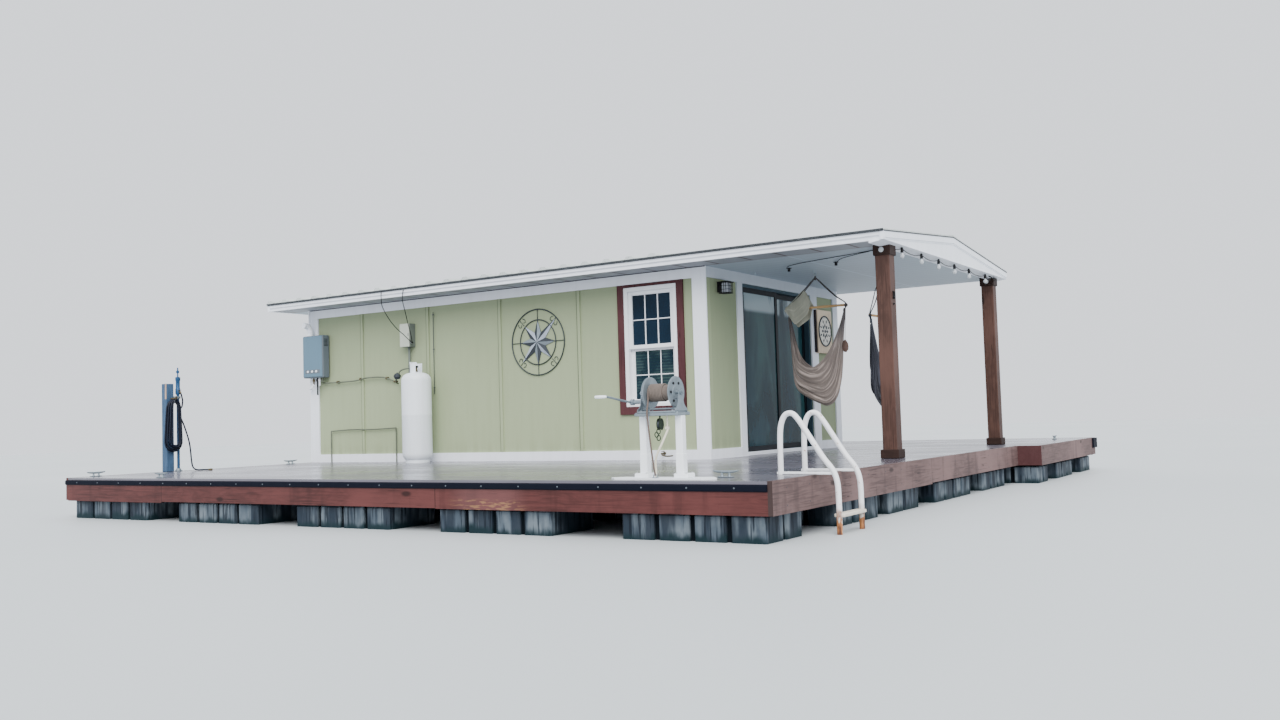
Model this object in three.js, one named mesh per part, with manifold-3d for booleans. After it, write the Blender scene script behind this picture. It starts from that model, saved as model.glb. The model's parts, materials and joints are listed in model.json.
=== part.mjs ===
// A floating cabin on a float dock: deck on float columns, hollow cabin, low roof over a
// porch, sliding door, hand winch, swim ladder and the fittings on its walls and deck.
// Millimetres, +Z up. While it is built, the origin is the top of the deck's near corner:
// X runs along the front edge (the deck lies at negative X), Y runs away from it.
// The last lines move the origin to the middle of the model's base.
import * as THREE from 'three';
import { mergeVertices } from 'three/addons/utils/BufferGeometryUtils.js';
import Module from 'manifold-3d';

const wasm = await Module();
wasm.setup();

// Driving dimensions
const SEAT = 0.3;                 // gap left where two pieces touch
const STUD = 38;                  // thickness of sawn joists and fascia boards
const TRIM = 20;                  // thickness of white trim boards
const PAST = 60;                  // how far a cutter reaches past what it cuts
const BITE = 1;                   // overlap of two pieces that are joined into one solid
const WELD = 1e-3;                // vertices closer than this are one

const deck = { left: -8940, right: 0, front: 0, back: 9910, thickness: 27 };
const extension = { reach: 277, start: 6710 };
const fascia = { low: -250, sideLow: -236, splitY: 3490 };
const joist = { low: -217, count: 15 };
const bumper = { height: 51, out: 14, shoulder: 8, chamfer: 9 };
const cornerBumper = { reach: 24, wrap: 210, low: -140, high: -4 };
const floats = { top: -255, bottom: -875, edgeInset: 57, bearerWidth: 140, bearerInset: 150 };
const groove = { pitch: 310, width: 44, depth: 34, floor: 0.7 };    // floor is a share of the width

const cabin = { left: -8910, right: -2494, front: 3558, back: 7198, top: 2140, wall: 110 };
const skirtTop = 110;
const friezeLow = 2020;
const batten = { width: 45, thickness: 18, endSpacing: 1220 };
const whiteBoard = { corner: 157, doorNear: 130, doorFar: 200, porchEnd: 140 };   // widths

const roof = { left: -9350, right: -260, near: 3158, far: 7598, ridge: 2427, eave: 2232 };
const roofSheet = { thickness: 14, rib: 38, ribWidth: 130, ribTop: 70, ribPitch: 303, firstRib: 73, lip: 15 };
const ribbedEnd = -2560;          // the ribs cover the cabin, and the porch roof is smooth
const ridgeCap = { wing: 150, thickness: 4 };
const ceilingThickness = 15;
const gable = { thickness: 40, inset: 8 };
const eaveBoard = { thickness: 41, drop: 14, lowBand: 32, step: 46 };

const post = { right: -335, shaft: 150, base: 190, baseHeight: 90, cap: 180, capHeight: 110 };
const doorway = { near: 4410, far: 6330, low: 20, top: 2020, member: 35 };
const doorLeaf = { width: 955, thickness: 30, stile: 60, fixedBack: 46, slidingBack: 96, play: 5 };
const doorRail = { sill: 25, height: 5.5, inset: 10 };
const windowFrame = { width: 715, height: 1376, sill: 609, sash: 100, foot: 55, back: 70, front: 15 };
const windowBar = { half: 7, back: 24.7, front: 10, railLow: 1218, railHigh: 1328, railFront: 2 };
const casing = { near: 83, far: 88, below: 88, thickness: 24 };
const pane = { back: 31, front: 25 };
const doorPane = { from: 12, to: 18 };
const windowCentres = { front: -3216.5, rear: -3216.5 };

// Repeated pieces: columns name what each number is
const floatColumns = [            // left and right edge of each column of floats
  [-8830, -7480], [-6930, -5660], [-5090, -3850], [-3240, -2020], [-1330, -80],
];
const floatRows = [               // near edge, far edge, whether the last column fills the extension
  [50, 650, false], [1370, 2230, false], [2500, 3300, false], [3790, 4990, false],
  [5460, 6360, false], [6750, 7230, true], [7690, 8590, true], [9110, 9750, true],
];
const battens = [1729, 2949, 4169, 5389];   // distance of each batten from the cabin's right end

// Materials
const finish = (color, roughness, metalness = 0) =>
  new THREE.MeshStandardMaterial({ color, roughness, metalness });
const glassFinish = new THREE.MeshStandardMaterial(
  { color: 0x5d7f86, roughness: 0.08, transparent: true, opacity: 0.45 });
const paint = {
  siding: finish(0xb0b89e, 0.7), trim: finish(0xe9ebf0, 0.5), brownTrim: finish(0x693232, 0.6),
  stain: finish(0x7c4338, 0.75), weathered: finish(0xa58278, 0.8), post: finish(0x6b3f32, 0.65),
  decking: finish(0x9a9088, 0.85), frame: finish(0x6a5a48, 0.9), rubber: finish(0x16181c, 0.8),
  floatShell: finish(0xa9adab, 0.7), metalRoof: finish(0xc9ccd0, 0.45, 0.4), glass: glassFinish,
  door: finish(0x23272b, 0.4, 0.5), black: finish(0x15161a, 0.5), heater: finish(0x98a2aa, 0.45, 0.3),
  tank: finish(0xf0f1ef, 0.4), copper: finish(0x6f7466, 0.5, 0.3), greyBox: finish(0x8f9596, 0.6),
  iron: finish(0x4a5157, 0.5, 0.7), board: finish(0xc9b391, 0.7), galvanised: finish(0x8d969b, 0.45, 0.8),
  rope: finish(0x9d8570, 0.9), whitePaint: finish(0xeff1f2, 0.5), oldPaint: finish(0x8fa6b8, 0.7),
  cloth: finish(0x857a6c, 0.95), wood: finish(0xb08a5c, 0.6),
};

const boat = new THREE.Group();
function add(name, geometry, material) {
  geometry.computeVertexNormals();
  const mesh = new THREE.Mesh(geometry, material);
  mesh.name = name;
  boat.add(mesh);
  return mesh;
}

// Shapes
function box(x, y, z) {           // each a [low, high] pair
  const geometry = new THREE.BoxGeometry(x[1] - x[0], y[1] - y[0], z[1] - z[0]);
  return geometry.translate((x[0] + x[1]) / 2, (y[0] + y[1]) / 2, (z[0] + z[1]) / 2);
}

const toX = new THREE.Vector3(1, 0, 0);
const toY = new THREE.Vector3(0, 1, 0);
const toZ = new THREE.Vector3(0, 0, 1);
const AXES = {                    // where a prism's outline and depth point
  x: new THREE.Matrix4().makeBasis(toY, toZ, toX),
  y: new THREE.Matrix4().makeBasis(toX, toZ, toY.clone().negate()),
  z: new THREE.Matrix4(),
};
function prism(outline, along, low, high) {   // outline is (y, z), (x, z) or (x, y)
  const shape = new THREE.Shape(outline.map(([a, b]) => new THREE.Vector2(a, b)));
  const geometry = new THREE.ExtrudeGeometry(shape, { depth: high - low, bevelEnabled: false });
  geometry.applyMatrix4(AXES[along]);
  const start = { x: [low, 0, 0], y: [0, high, 0], z: [0, 0, low] }[along];
  return geometry.translate(...start);
}

function bar(from, to, radius, sides = 8) {
  const a = new THREE.Vector3(...from);
  const b = new THREE.Vector3(...to);
  const geometry = new THREE.CylinderGeometry(radius, radius, a.distanceTo(b), sides);
  const turn = new THREE.Quaternion().setFromUnitVectors(toY, b.clone().sub(a).normalize());
  geometry.applyQuaternion(turn);
  return geometry.translate(...a.add(b).multiplyScalar(0.5).toArray());
}

function tube(points, radius, steps, sides = 8) {
  const path = new THREE.CatmullRomCurve3(points.map((p) => new THREE.Vector3(...p)), false, 'centripetal');
  const outline = Array.from({ length: sides }, (_, i) => {
    const angle = (2 * Math.PI * i) / sides;
    return new THREE.Vector2(radius * Math.cos(angle), radius * Math.sin(angle));
  });
  const options = { steps, extrudePath: path, bevelEnabled: false };
  return new THREE.ExtrudeGeometry(new THREE.Shape(outline), options);
}

function turned(profile, sides, centre, axis = 'z') {   // profile is (radius, height), closed on the axis
  const geometry = new THREE.LatheGeometry(profile.map(([r, h]) => new THREE.Vector2(r, h)), sides);
  if (axis === 'z') geometry.rotateX(Math.PI / 2);
  if (axis === 'x') geometry.rotateZ(-Math.PI / 2);
  return geometry.translate(...centre);
}

// Booleans
function solidOf(geometry) {
  const bare = geometry.clone();
  for (const name of Object.keys(bare.attributes)) if (name !== 'position') bare.deleteAttribute(name);
  const merged = mergeVertices(bare, WELD);
  return new wasm.Manifold(new wasm.Mesh({
    numProp: 3,
    vertProperties: new Float32Array(merged.attributes.position.array),
    triVerts: new Uint32Array(merged.index.array),
  }));
}
function geometryOf(solid) {
  const mesh = solid.getMesh();
  const geometry = new THREE.BufferGeometry();
  geometry.setAttribute('position', new THREE.BufferAttribute(new Float32Array(mesh.vertProperties), 3));
  geometry.setIndex(new THREE.BufferAttribute(new Uint32Array(mesh.triVerts), 1));
  return geometry;
}
function join(pieces, holes = []) {
  let solid = solidOf(pieces[0]);
  for (const piece of pieces.slice(1)) solid = solid.add(solidOf(piece));
  for (const hole of holes) solid = solid.subtract(solidOf(hole));
  return geometryOf(solid);
}

// Deck
const deckInside = {
  left: deck.left + STUD, right: deck.right - STUD, front: deck.front + STUD, back: deck.back - STUD,
};
const outerEdge = deck.right + extension.reach;

function buildDecking() {
  const z = [-deck.thickness, 0];
  add('decking', join([
    box([deckInside.left + SEAT, deckInside.right - SEAT], [deck.front, deckInside.back - SEAT], z),
    box([deckInside.right - STUD, outerEdge - STUD - SEAT],
      [extension.start + STUD + SEAT, deckInside.back - SEAT], z),
  ]), paint.decking);
}

function buildDeckFrame() {
  const left = deckInside.left + SEAT;
  const right = deckInside.right - SEAT;
  const front = deckInside.front + SEAT;
  const back = deckInside.back - SEAT;
  const outer = outerEdge - STUD - SEAT;
  const near = extension.start + STUD + SEAT;
  const outline = [[left, front], [right, front], [right, near], [outer, near], [outer, back], [left, back]];
  const bay = (x0, x1, y0, y1) => box([x0, x1], [y0, y1], [joist.low - STUD, STUD]);
  const pitch = (right - left - STUD) / (joist.count - 1);
  const bays = Array.from({ length: joist.count - 1 }, (_, i) => {
    const x = left + i * pitch;
    return bay(x + STUD, x + pitch, front + STUD, back - STUD);
  });
  const halfway = (near + back) / 2;
  bays.push(bay(right, outer - STUD, near + STUD, halfway - STUD / 2));
  bays.push(bay(right, outer - STUD, halfway + STUD / 2, back - STUD));
  add('deck_frame', join([prism(outline, 'z', joist.low, -deck.thickness - SEAT)], bays), paint.frame);
}

function buildFascias() {
  const inner = { left: deckInside.left + SEAT, right: deckInside.right - SEAT };
  const boards = [                // right end of each front board, and how low it hangs
    [-7150, -258], [-3240, -246], [inner.right, -251],
  ];
  let x = inner.left;
  const front = boards.map(([end, low]) => {
    const piece = box([x, end], [deck.front, deckInside.front], [low, -deck.thickness - SEAT]);
    x = end;
    return piece;
  });
  add('fascia_front', join(front), paint.stain);
  add('fascia_right', join([
    box([deckInside.right, deck.right], [deck.front, fascia.splitY], [fascia.low, 0]),
    box([deckInside.right, deck.right], [fascia.splitY, extension.start + STUD], [fascia.sideLow, 0]),
    box([deckInside.right, outerEdge], [extension.start, extension.start + STUD], [fascia.sideLow, 0]),
    box([outerEdge - STUD, outerEdge], [extension.start, deck.back], [fascia.sideLow, 0]),
  ]), paint.weathered);
  add('fascia_left_rear', join([
    box([deck.left, deckInside.left], [deck.front, deck.back], [fascia.low, 0]),
    box([deck.left, outerEdge - STUD - SEAT], [deckInside.back, deck.back], [fascia.low, 0]),
  ]), paint.stain);
}

function buildBumpers() {
  const high = -deck.thickness;
  const low = high - bumper.height;
  const face = deck.front - bumper.out;
  const shoulder = deck.front - bumper.shoulder;
  const strip = [[deck.front - SEAT, low], [shoulder, low], [face, low + bumper.chamfer],
    [face, high - bumper.chamfer], [shoulder, high], [deck.front - SEAT, high]];
  add('front_bumper', prism(strip, 'x', deck.left, deckInside.right), paint.rubber);
  const { reach, wrap } = cornerBumper;
  const x = outerEdge + SEAT;
  const y = deck.back + SEAT;
  const z = [cornerBumper.low, cornerBumper.high];
  add('corner_bumper', join([
    box([x, x + reach], [y - wrap, y + reach], z),
    box([x - wrap, x + BITE], [y, y + reach], z),
  ]), paint.rubber);
}

// One float: a rotomoulded box whose outer sides have upright grooves
function sideGrooves(from, to, inward) {
  const length = Math.hypot(to[0] - from[0], to[1] - from[1]);
  const count = Math.max(1, Math.round(length / groove.pitch) - 1);
  const unit = [(to[0] - from[0]) / length, (to[1] - from[1]) / length];
  const points = [from];
  for (let i = 1; i <= count; i += 1) {
    const centre = (length * i) / (count + 1);
    const floor = groove.floor;
    for (const [along, deep] of [[-1, 0], [-floor, 1], [floor, 1], [1, 0]]) {
      const s = centre + (along * groove.width) / 2;
      points.push([from[0] + unit[0] * s + inward[0] * deep * groove.depth,
        from[1] + unit[1] * s + inward[1] * deep * groove.depth]);
    }
  }
  return points;
}
function floatBody(x, y, grooved) {
  const corners = [[x[0], y[0]], [x[1], y[0]], [x[1], y[1]], [x[0], y[1]]];
  const inward = [[0, 1], [-1, 0], [0, -1], [1, 0]];
  const outline = corners.flatMap((corner, i) => (grooved[i]
    ? sideGrooves(corner, corners[(i + 1) % 4], inward[i]) : [corner]));
  return prism(outline, 'z', floats.bottom, floats.top);
}

function buildFloats() {
  const lastColumn = floatColumns.length - 1;
  floatColumns.forEach(([left, right], column) => {
    const bodies = floatRows.map(([near, far, wide], row) => {
      const edge = wide && column === lastColumn ? outerEdge - floats.edgeInset : right;
      const grooved = [row === 0, column === lastColumn, row === floatRows.length - 1, column === 0];
      return floatBody([left, edge], [near, far], grooved);
    });
    const lengthwise = [floatRows[0][0], floatRows[floatRows.length - 1][1]];
    const z = [floats.top - BITE, joist.low - SEAT];
    const inset = floats.bearerInset;
    const bearers = [left + inset, right - inset - floats.bearerWidth].map(
      (x) => box([x, x + floats.bearerWidth], lengthwise, z));
    add(`float_column_${column + 1}`, join([...bodies, ...bearers]), paint.floatShell);
  });
}

// Cabin
const wallTop = cabin.top - SEAT;
const inside = {
  left: cabin.left + cabin.wall, right: cabin.right - cabin.wall,
  front: cabin.front + cabin.wall, back: cabin.back - cabin.wall,
};

function windowHole(centre, y) {
  const half = windowFrame.width / 2 + SEAT;
  return box([centre - half, centre + half], y,
    [windowFrame.sill - SEAT, windowFrame.sill + windowFrame.height + SEAT]);
}

function buildWalls() {
  const z = [SEAT, wallTop];
  const between = [skirtTop + SEAT, friezeLow - SEAT];
  const strips = (face, outward, distances) => distances.map((d) => {
    const y = [face + outward * batten.thickness, face - outward * BITE].sort((a, b) => a - b);
    const x = cabin.right - d;
    return box([x - batten.width / 2, x + batten.width / 2], y, between);
  });
  add('wall_front', join(
    [box([cabin.left, cabin.right], [cabin.front, inside.front], z), ...strips(cabin.front, -1, battens)],
    [windowHole(windowCentres.front, [cabin.front - PAST, inside.front + PAST])]), paint.siding);
  add('wall_rear', join(
    [box([cabin.left, cabin.right], [inside.back, cabin.back], z), ...strips(cabin.back, 1, battens)],
    [windowHole(windowCentres.rear, [inside.back - PAST, cabin.back + PAST])]), paint.siding);
  const across = [inside.front + SEAT, inside.back - SEAT];
  const middle = (cabin.front + cabin.back) / 2;
  const endBattens = [-0.5, 0.5].map((share) => {
    const y = middle + share * batten.endSpacing;
    return box([cabin.left - batten.thickness, cabin.left + BITE],
      [y - batten.width / 2, y + batten.width / 2], between);
  });
  add('wall_left', join([box([cabin.left, inside.left], across, z), ...endBattens]), paint.siding);
  const hole = box([inside.right - PAST, cabin.right + PAST], [doorway.near - SEAT, doorway.far + SEAT],
    [doorway.low - SEAT, doorway.top + SEAT]);
  add('wall_porch', join([box([inside.right, cabin.right], across, z)], [hole]), paint.siding);
}

// White boards round each wall: corner boards, skirt at the foot, frieze under the ceiling
function buildTrim() {
  const frieze = [friezeLow, wallTop];
  const skirt = [SEAT, skirtTop];
  const full = [SEAT, wallTop];
  const { corner } = whiteBoard;
  const acrossX = [cabin.left - TRIM, cabin.right + TRIM];
  const joined = [acrossX[0] + BITE, acrossX[1] - BITE];
  for (const [name, y] of [
    ['trim_front', [cabin.front - TRIM, cabin.front - SEAT]],
    ['trim_rear', [cabin.back + SEAT, cabin.back + TRIM]],
  ]) {
    add(name, join([
      box([acrossX[0], cabin.left + corner], y, full),
      box([cabin.right - corner, acrossX[1]], y, full),
      box(joined, y, frieze),
      box(joined, y, skirt),
    ]), paint.trim);
  }
  const leftX = [cabin.left - TRIM, cabin.left - SEAT];
  add('trim_left', join([
    box(leftX, [cabin.front, cabin.front + corner], full),
    box(leftX, [cabin.back - corner, cabin.back], full),
    box(leftX, [cabin.front + BITE, cabin.back - BITE], frieze),
    box(leftX, [cabin.front + BITE, cabin.back - BITE], skirt),
  ]), paint.trim);
  const porchX = [cabin.right + SEAT, cabin.right + TRIM];
  add('trim_porch', join([
    box(porchX, [cabin.front, cabin.back], frieze),
    box(porchX, [cabin.front, doorway.near - BITE], skirt),
    box(porchX, [doorway.near - whiteBoard.doorNear, doorway.near - SEAT], full),
    box(porchX, [doorway.far + SEAT, doorway.far + whiteBoard.doorFar], full),
    box(porchX, [doorway.far + BITE, cabin.back], skirt),
    box(porchX, [cabin.back - whiteBoard.porchEnd, cabin.back], full),
  ]), paint.trim);
}

// A double-hung window: brown casing on the wall, white frame with bars, one sheet of glass
function buildWindow(side, centre, face, outward) {
  const plane = (a, b) => [face + outward * a, face + outward * b].sort((p, q) => p - q);
  const half = windowFrame.width / 2;
  const low = windowFrame.sill;
  const high = low + windowFrame.height;
  const [left, right] = outward < 0 ? [casing.near, casing.far] : [casing.far, casing.near];
  add(`window_${side}_casing`, join(
    [box([centre - half - left, centre + half + right], plane(SEAT, casing.thickness),
      [low - casing.below, friezeLow - SEAT])],
    [box([centre - half - SEAT, centre + half + SEAT], plane(-PAST, PAST), [low - SEAT, high + SEAT])]),
  paint.brownTrim);

  const light = {
    left: centre - half + windowFrame.sash, right: centre + half - windowFrame.sash,
    low: low + windowFrame.foot, high: high - windowFrame.sash,
  };
  const bars = [];
  const barPlane = plane(-windowBar.back, -windowBar.front);
  for (const share of [1 / 3, 2 / 3]) {
    const x = light.left + share * (light.right - light.left);
    bars.push(box([x - windowBar.half, x + windowBar.half], barPlane, [light.low - BITE, light.high + BITE]));
  }
  const wide = [light.left - BITE, light.right + BITE];
  for (const z of [(light.low + windowBar.railLow) / 2, (windowBar.railHigh + light.high) / 2]) {
    bars.push(box(wide, barPlane, [z - windowBar.half, z + windowBar.half]));
  }
  const surround = solidOf(
    box([centre - half, centre + half], plane(-windowFrame.back, windowFrame.front), [low, high]));
  const opening = solidOf(
    box([light.left, light.right], plane(-2 * PAST, 2 * PAST), [light.low, light.high]));
  add(`window_${side}_frame`, join([
    geometryOf(surround.subtract(opening)),
    box(wide, plane(-windowBar.back, windowBar.railFront), [windowBar.railLow, windowBar.railHigh]),
    ...bars,
  ]), paint.whitePaint);
  add(`window_${side}_glass`, box([light.left + SEAT, light.right - SEAT], plane(-pane.back, -pane.front),
    [light.low + SEAT, light.high - SEAT]), paint.glass);
}

// Sliding glass door: frame in the wall, fixed leaf outside, sliding leaf inside it
const within = ([low, high], inset) => [low + inset, high - inset];
function leaf(y, z, x) {
  return join([box(x, y, z)], [box(within(x, -PAST), within(y, doorLeaf.stile), within(z, doorLeaf.stile))]);
}
function leafGlass(y, z, back) {
  const inset = doorLeaf.stile + SEAT;
  return box([back + doorPane.from, back + doorPane.to], within(y, inset), within(z, inset));
}
function buildDoor() {
  const outerY = [doorway.near, doorway.far];
  const outerZ = [doorway.low, doorway.top];
  const innerY = within(outerY, doorway.member);
  const innerZ = [outerZ[0] + doorRail.sill, outerZ[1] - doorway.member];
  const leafAt = (back) => [cabin.right - back, cabin.right - back + doorLeaf.thickness];
  const fixedX = leafAt(doorLeaf.fixedBack);
  const slidingX = leafAt(doorLeaf.slidingBack);
  const railTop = innerZ[0] + doorRail.height;
  const depth = [slidingX[0] - doorRail.inset, fixedX[1] + doorRail.inset];
  const surround = solidOf(box(depth, outerY, outerZ));
  add('door_frame', join([
    geometryOf(surround.subtract(solidOf(box(within(depth, -PAST), innerY, innerZ)))),
    box(within(slidingX, doorRail.inset), within(innerY, -BITE), [innerZ[0] - BITE, railTop]),
  ]), paint.door);
  const fixedY = [innerY[0] + SEAT, innerY[0] + doorLeaf.width];
  const fixedZ = within(innerZ, SEAT);
  add('door_fixed_leaf', leaf(fixedY, fixedZ, fixedX), paint.door);
  add('door_fixed_glass', leafGlass(fixedY, fixedZ, fixedX[0]), paint.glass);
  const slidingY = [innerY[1] - doorLeaf.play - doorLeaf.width, innerY[1] - doorLeaf.play];
  const slidingZ = [railTop + 2 * SEAT, innerZ[1] - doorLeaf.play];
  add('door_sliding_leaf', leaf(slidingY, slidingZ, slidingX), paint.door);
  add('door_sliding_glass', leafGlass(slidingY, slidingZ, slidingX[0]), paint.glass);
}

// Roof
const ridgeY = (roof.near + roof.far) / 2;
const slope = (roof.ridge - roof.eave) / (ridgeY - roof.near);
const undersideAt = (y) => roof.eave + slope * (ridgeY - roof.near - Math.abs(y - ridgeY));

const hook = { hang: 40, pin: 4, rod: 5, offset: 16, reach: 12 };
const hookPlaces = [              // x and y of each hook under the ceiling, and how far its pin is turned
  [-1720, 4800, 0], [-1225, 5600, THREE.MathUtils.degToRad(88)], [-2300, 4440, 0],
];
const overhang = {                // inner faces of the gable boards and the eave boards
  x: [roof.left + gable.inset + gable.thickness + SEAT, roof.right - gable.inset - gable.thickness - SEAT],
  y: [roof.near + eaveBoard.thickness + SEAT, roof.far - eaveBoard.thickness - SEAT],
};
function ceilingHook([x, y, turn]) {
  const z = cabin.top - hook.hang;
  const pieces = [
    bar([-hook.offset, 0, z - hook.pin], [-hook.offset, 0, cabin.top + BITE], hook.rod),
    bar([-hook.offset, 0, z], [hook.reach, 0, z], hook.pin),
  ];
  return pieces.map((piece) => piece.rotateZ(turn).translate(x, y, 0));
}
function buildCeiling() {
  add('ceiling', join([
    box(overhang.x, overhang.y, [cabin.top, cabin.top + ceilingThickness]),
    ...hookPlaces.flatMap(ceilingHook),
  ]), paint.trim);
}

function buildEaves() {
  const { thickness, drop, lowBand, step } = eaveBoard;
  const profile = [                // distance in from the eave line, height
    [thickness, cabin.top], [drop, cabin.top], [drop, cabin.top + lowBand], [0, cabin.top + step],
    [0, roof.eave - SEAT], [thickness, roof.eave - SEAT],
  ];
  const along = overhang.x;
  add('eave_near', prism(profile.map(([d, z]) => [roof.near + d, z]).reverse(), 'x', ...along), paint.trim);
  add('eave_far', prism(profile.map(([d, z]) => [roof.far - d, z]), 'x', ...along), paint.trim);
}

function buildGables() {
  const outline = [[roof.near, cabin.top], [roof.far, cabin.top], [roof.far, roof.eave - SEAT],
    [ridgeY, roof.ridge - SEAT], [roof.near, roof.eave - SEAT]];
  const t = gable.thickness;
  add('gable_porch', prism(outline, 'x', roof.right - gable.inset - t, roof.right - gable.inset), paint.trim);
  add('gable_left', prism(outline, 'x', roof.left + gable.inset, roof.left + gable.inset + t), paint.trim);
}

// Each slope is one sheet, with raised ribs from eave to ridge over the cabin
function ribbedOutline() {
  const half = roofSheet.ribWidth / 2;
  const halfTop = roofSheet.ribTop / 2;
  const low = roofSheet.thickness;
  const high = low + roofSheet.rib;
  const points = [[roof.left, 0], [roof.right, 0], [roof.right, low]];
  const first = roof.left + roofSheet.firstRib;
  const count = Math.floor((ribbedEnd - half - first) / roofSheet.ribPitch);
  for (let i = count; i >= 0; i -= 1) {
    const x = first + i * roofSheet.ribPitch;
    points.push([x + half, low], [x + halfTop, high], [x - halfTop, high], [x - half, low]);
  }
  points.push([roof.left, low]);
  return points;
}
function buildRoof() {
  const angle = Math.atan(slope);
  const length = (ridgeY - roof.near + roofSheet.lip) / Math.cos(angle) - SEAT;
  const start = undersideAt(roof.near) - slope * roofSheet.lip;
  const near = prism(ribbedOutline(), 'y', 0, length).rotateX(angle)
    .translate(0, roof.near - roofSheet.lip, start);
  const far = prism(ribbedOutline(), 'y', -length, 0).rotateX(-angle)
    .translate(0, roof.far + roofSheet.lip, start);
  add('roof_near', near, paint.metalRoof);
  add('roof_far', far, paint.metalRoof);

  const capOver = (height, bottom, x) => {
    const reach = [-ridgeCap.wing, 0, ridgeCap.wing];
    const top = reach.map((d) => [ridgeY + d, undersideAt(ridgeY + d) + height / Math.cos(angle) + SEAT
      + ridgeCap.thickness]);
    const under = reach.map((d) => [ridgeY + d, undersideAt(ridgeY + d) + bottom / Math.cos(angle) + SEAT]);
    return prism([...under, ...top.reverse()], 'x', ...x);
  };
  const sheet = roofSheet.thickness;
  const ribs = sheet + roofSheet.rib;
  add('ridge_cap', join([
    capOver(ribs, ribs, [roof.left, ribbedEnd]),
    capOver(ribs, sheet, [ribbedEnd - BITE, ribbedEnd + ridgeCap.thickness]),
    capOver(sheet, sheet, [ribbedEnd, roof.right]),
  ]), paint.metalRoof);
}

const postCorners = [['post_near', 3478], ['post_far', 7197]];   // name and near face
function buildPosts() {
  for (const [name, y0] of postCorners) {
    const cx = post.right - post.shaft / 2;
    const cy = y0 + post.shaft / 2;
    const block = (size, low, high) => box(
      [cx - size / 2, cx + size / 2], [cy - size / 2, cy + size / 2], [low, high]);
    add(name, join([
      block(post.shaft, SEAT + BITE, wallTop - BITE),
      block(post.base, SEAT, post.baseHeight),
      block(post.cap, wallTop - post.capHeight, wallTop),
    ]), paint.post);
  }
}

// Fittings on the walls
const lanternY = 3880;
const lanternParts = [            // half its width, from and to out of the wall, from and to in height
  [45, 0, 14, 1870, 1985], [12, 10, 50, 1960, 1984], [70, 20, 160, 1972, 1990], [60, 30, 150, 1850, 1975],
];
function buildLantern() {
  const wall = cabin.right + SEAT;
  add('porch_lantern', join(lanternParts.map(([half, from, to, low, high]) => box(
    [wall + from, wall + to], [lanternY - half, lanternY + half], [low, high]))), paint.black);
}

const heater = { x: [-8925, -8525], z: [1182, 1772], depth: 130, vent: 42 };
const heaterLeg = { x: -8705, out: 60, radius: 24, drop: 240 };
const ventRun = [                 // x, distance out of the wall, height above the heater's top
  [-8830, 65, -5], [-8830, 65, 60], [-8834, 75, 118], [-8842, 125, 150], [-8844, 175, 152],
];
function buildHeater() {
  const back = cabin.front - TRIM - SEAT;
  const [low, high] = heater.z;
  const leg = [heaterLeg.x, back - heaterLeg.out];
  add('water_heater', join([
    box(heater.x, [back - heater.depth, back], heater.z),
    tube(ventRun.map(([x, out, up]) => [x, back - out, high + up]), heater.vent, 10, 10),
    bar([...leg, low - heaterLeg.drop], [...leg, low + BITE], heaterLeg.radius),
  ]), paint.heater);
}

const tank = { x: -6625, y: 3280, radius: 190, collar: 75 };
const tankProfile = [             // radius, height
  [0, SEAT], [150, SEAT], [150, 36], [tank.radius - 12, 60], [tank.radius, 90], [tank.radius, 1060],
  [tank.radius - 18, 1106], [tank.radius - 62, 1140], [tank.collar + 4, 1155], [tank.collar, 1168],
  [tank.collar, 1289], [0, 1289],
];
function buildTank() {
  add('gas_tank', turned(tankProfile, 24, [tank.x, tank.y, 0]), paint.tank);
}

const pipe = { radius: 9, wall: cabin.front - 40, valve: 1215 };
const regulator = { x: -6945, y: 3265, z: [1080, 1160], radius: 44 };
const pipeRun = [                 // from the tank's collar through the regulator and along the wall
  [tank.x - tank.collar - SEAT, tank.y, pipe.valve], [tank.x - 130, tank.y, pipe.valve],
  [tank.x - 250, tank.y - 20, 1190], [-6940, 3270, 1120], [-7040, 3330, 1052],
  [-7190, pipe.wall, 1045], [-7450, pipe.wall, 1131], [-7777, pipe.wall, 1139], [-8030, pipe.wall, 1109],
  [-8560, pipe.wall, 1104], [-8600, pipe.wall - 30, 1125], [-8600, pipe.wall - 30, 1150],
  [-8600, pipe.wall - 30, heater.z[0] - SEAT],
];
function buildGasPipe() {
  const { x, y, z, radius } = regulator;
  add('gas_pipe', join([
    tube(pipeRun, pipe.radius, 36, 6),
    box([x - 45, x + 40], [y - 40, y + 40], [z[0] + 5, z[1] - 10]),
    bar([x, y, z[0]], [x, y, z[1]], radius, 12),
  ]), paint.copper);
}

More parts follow.
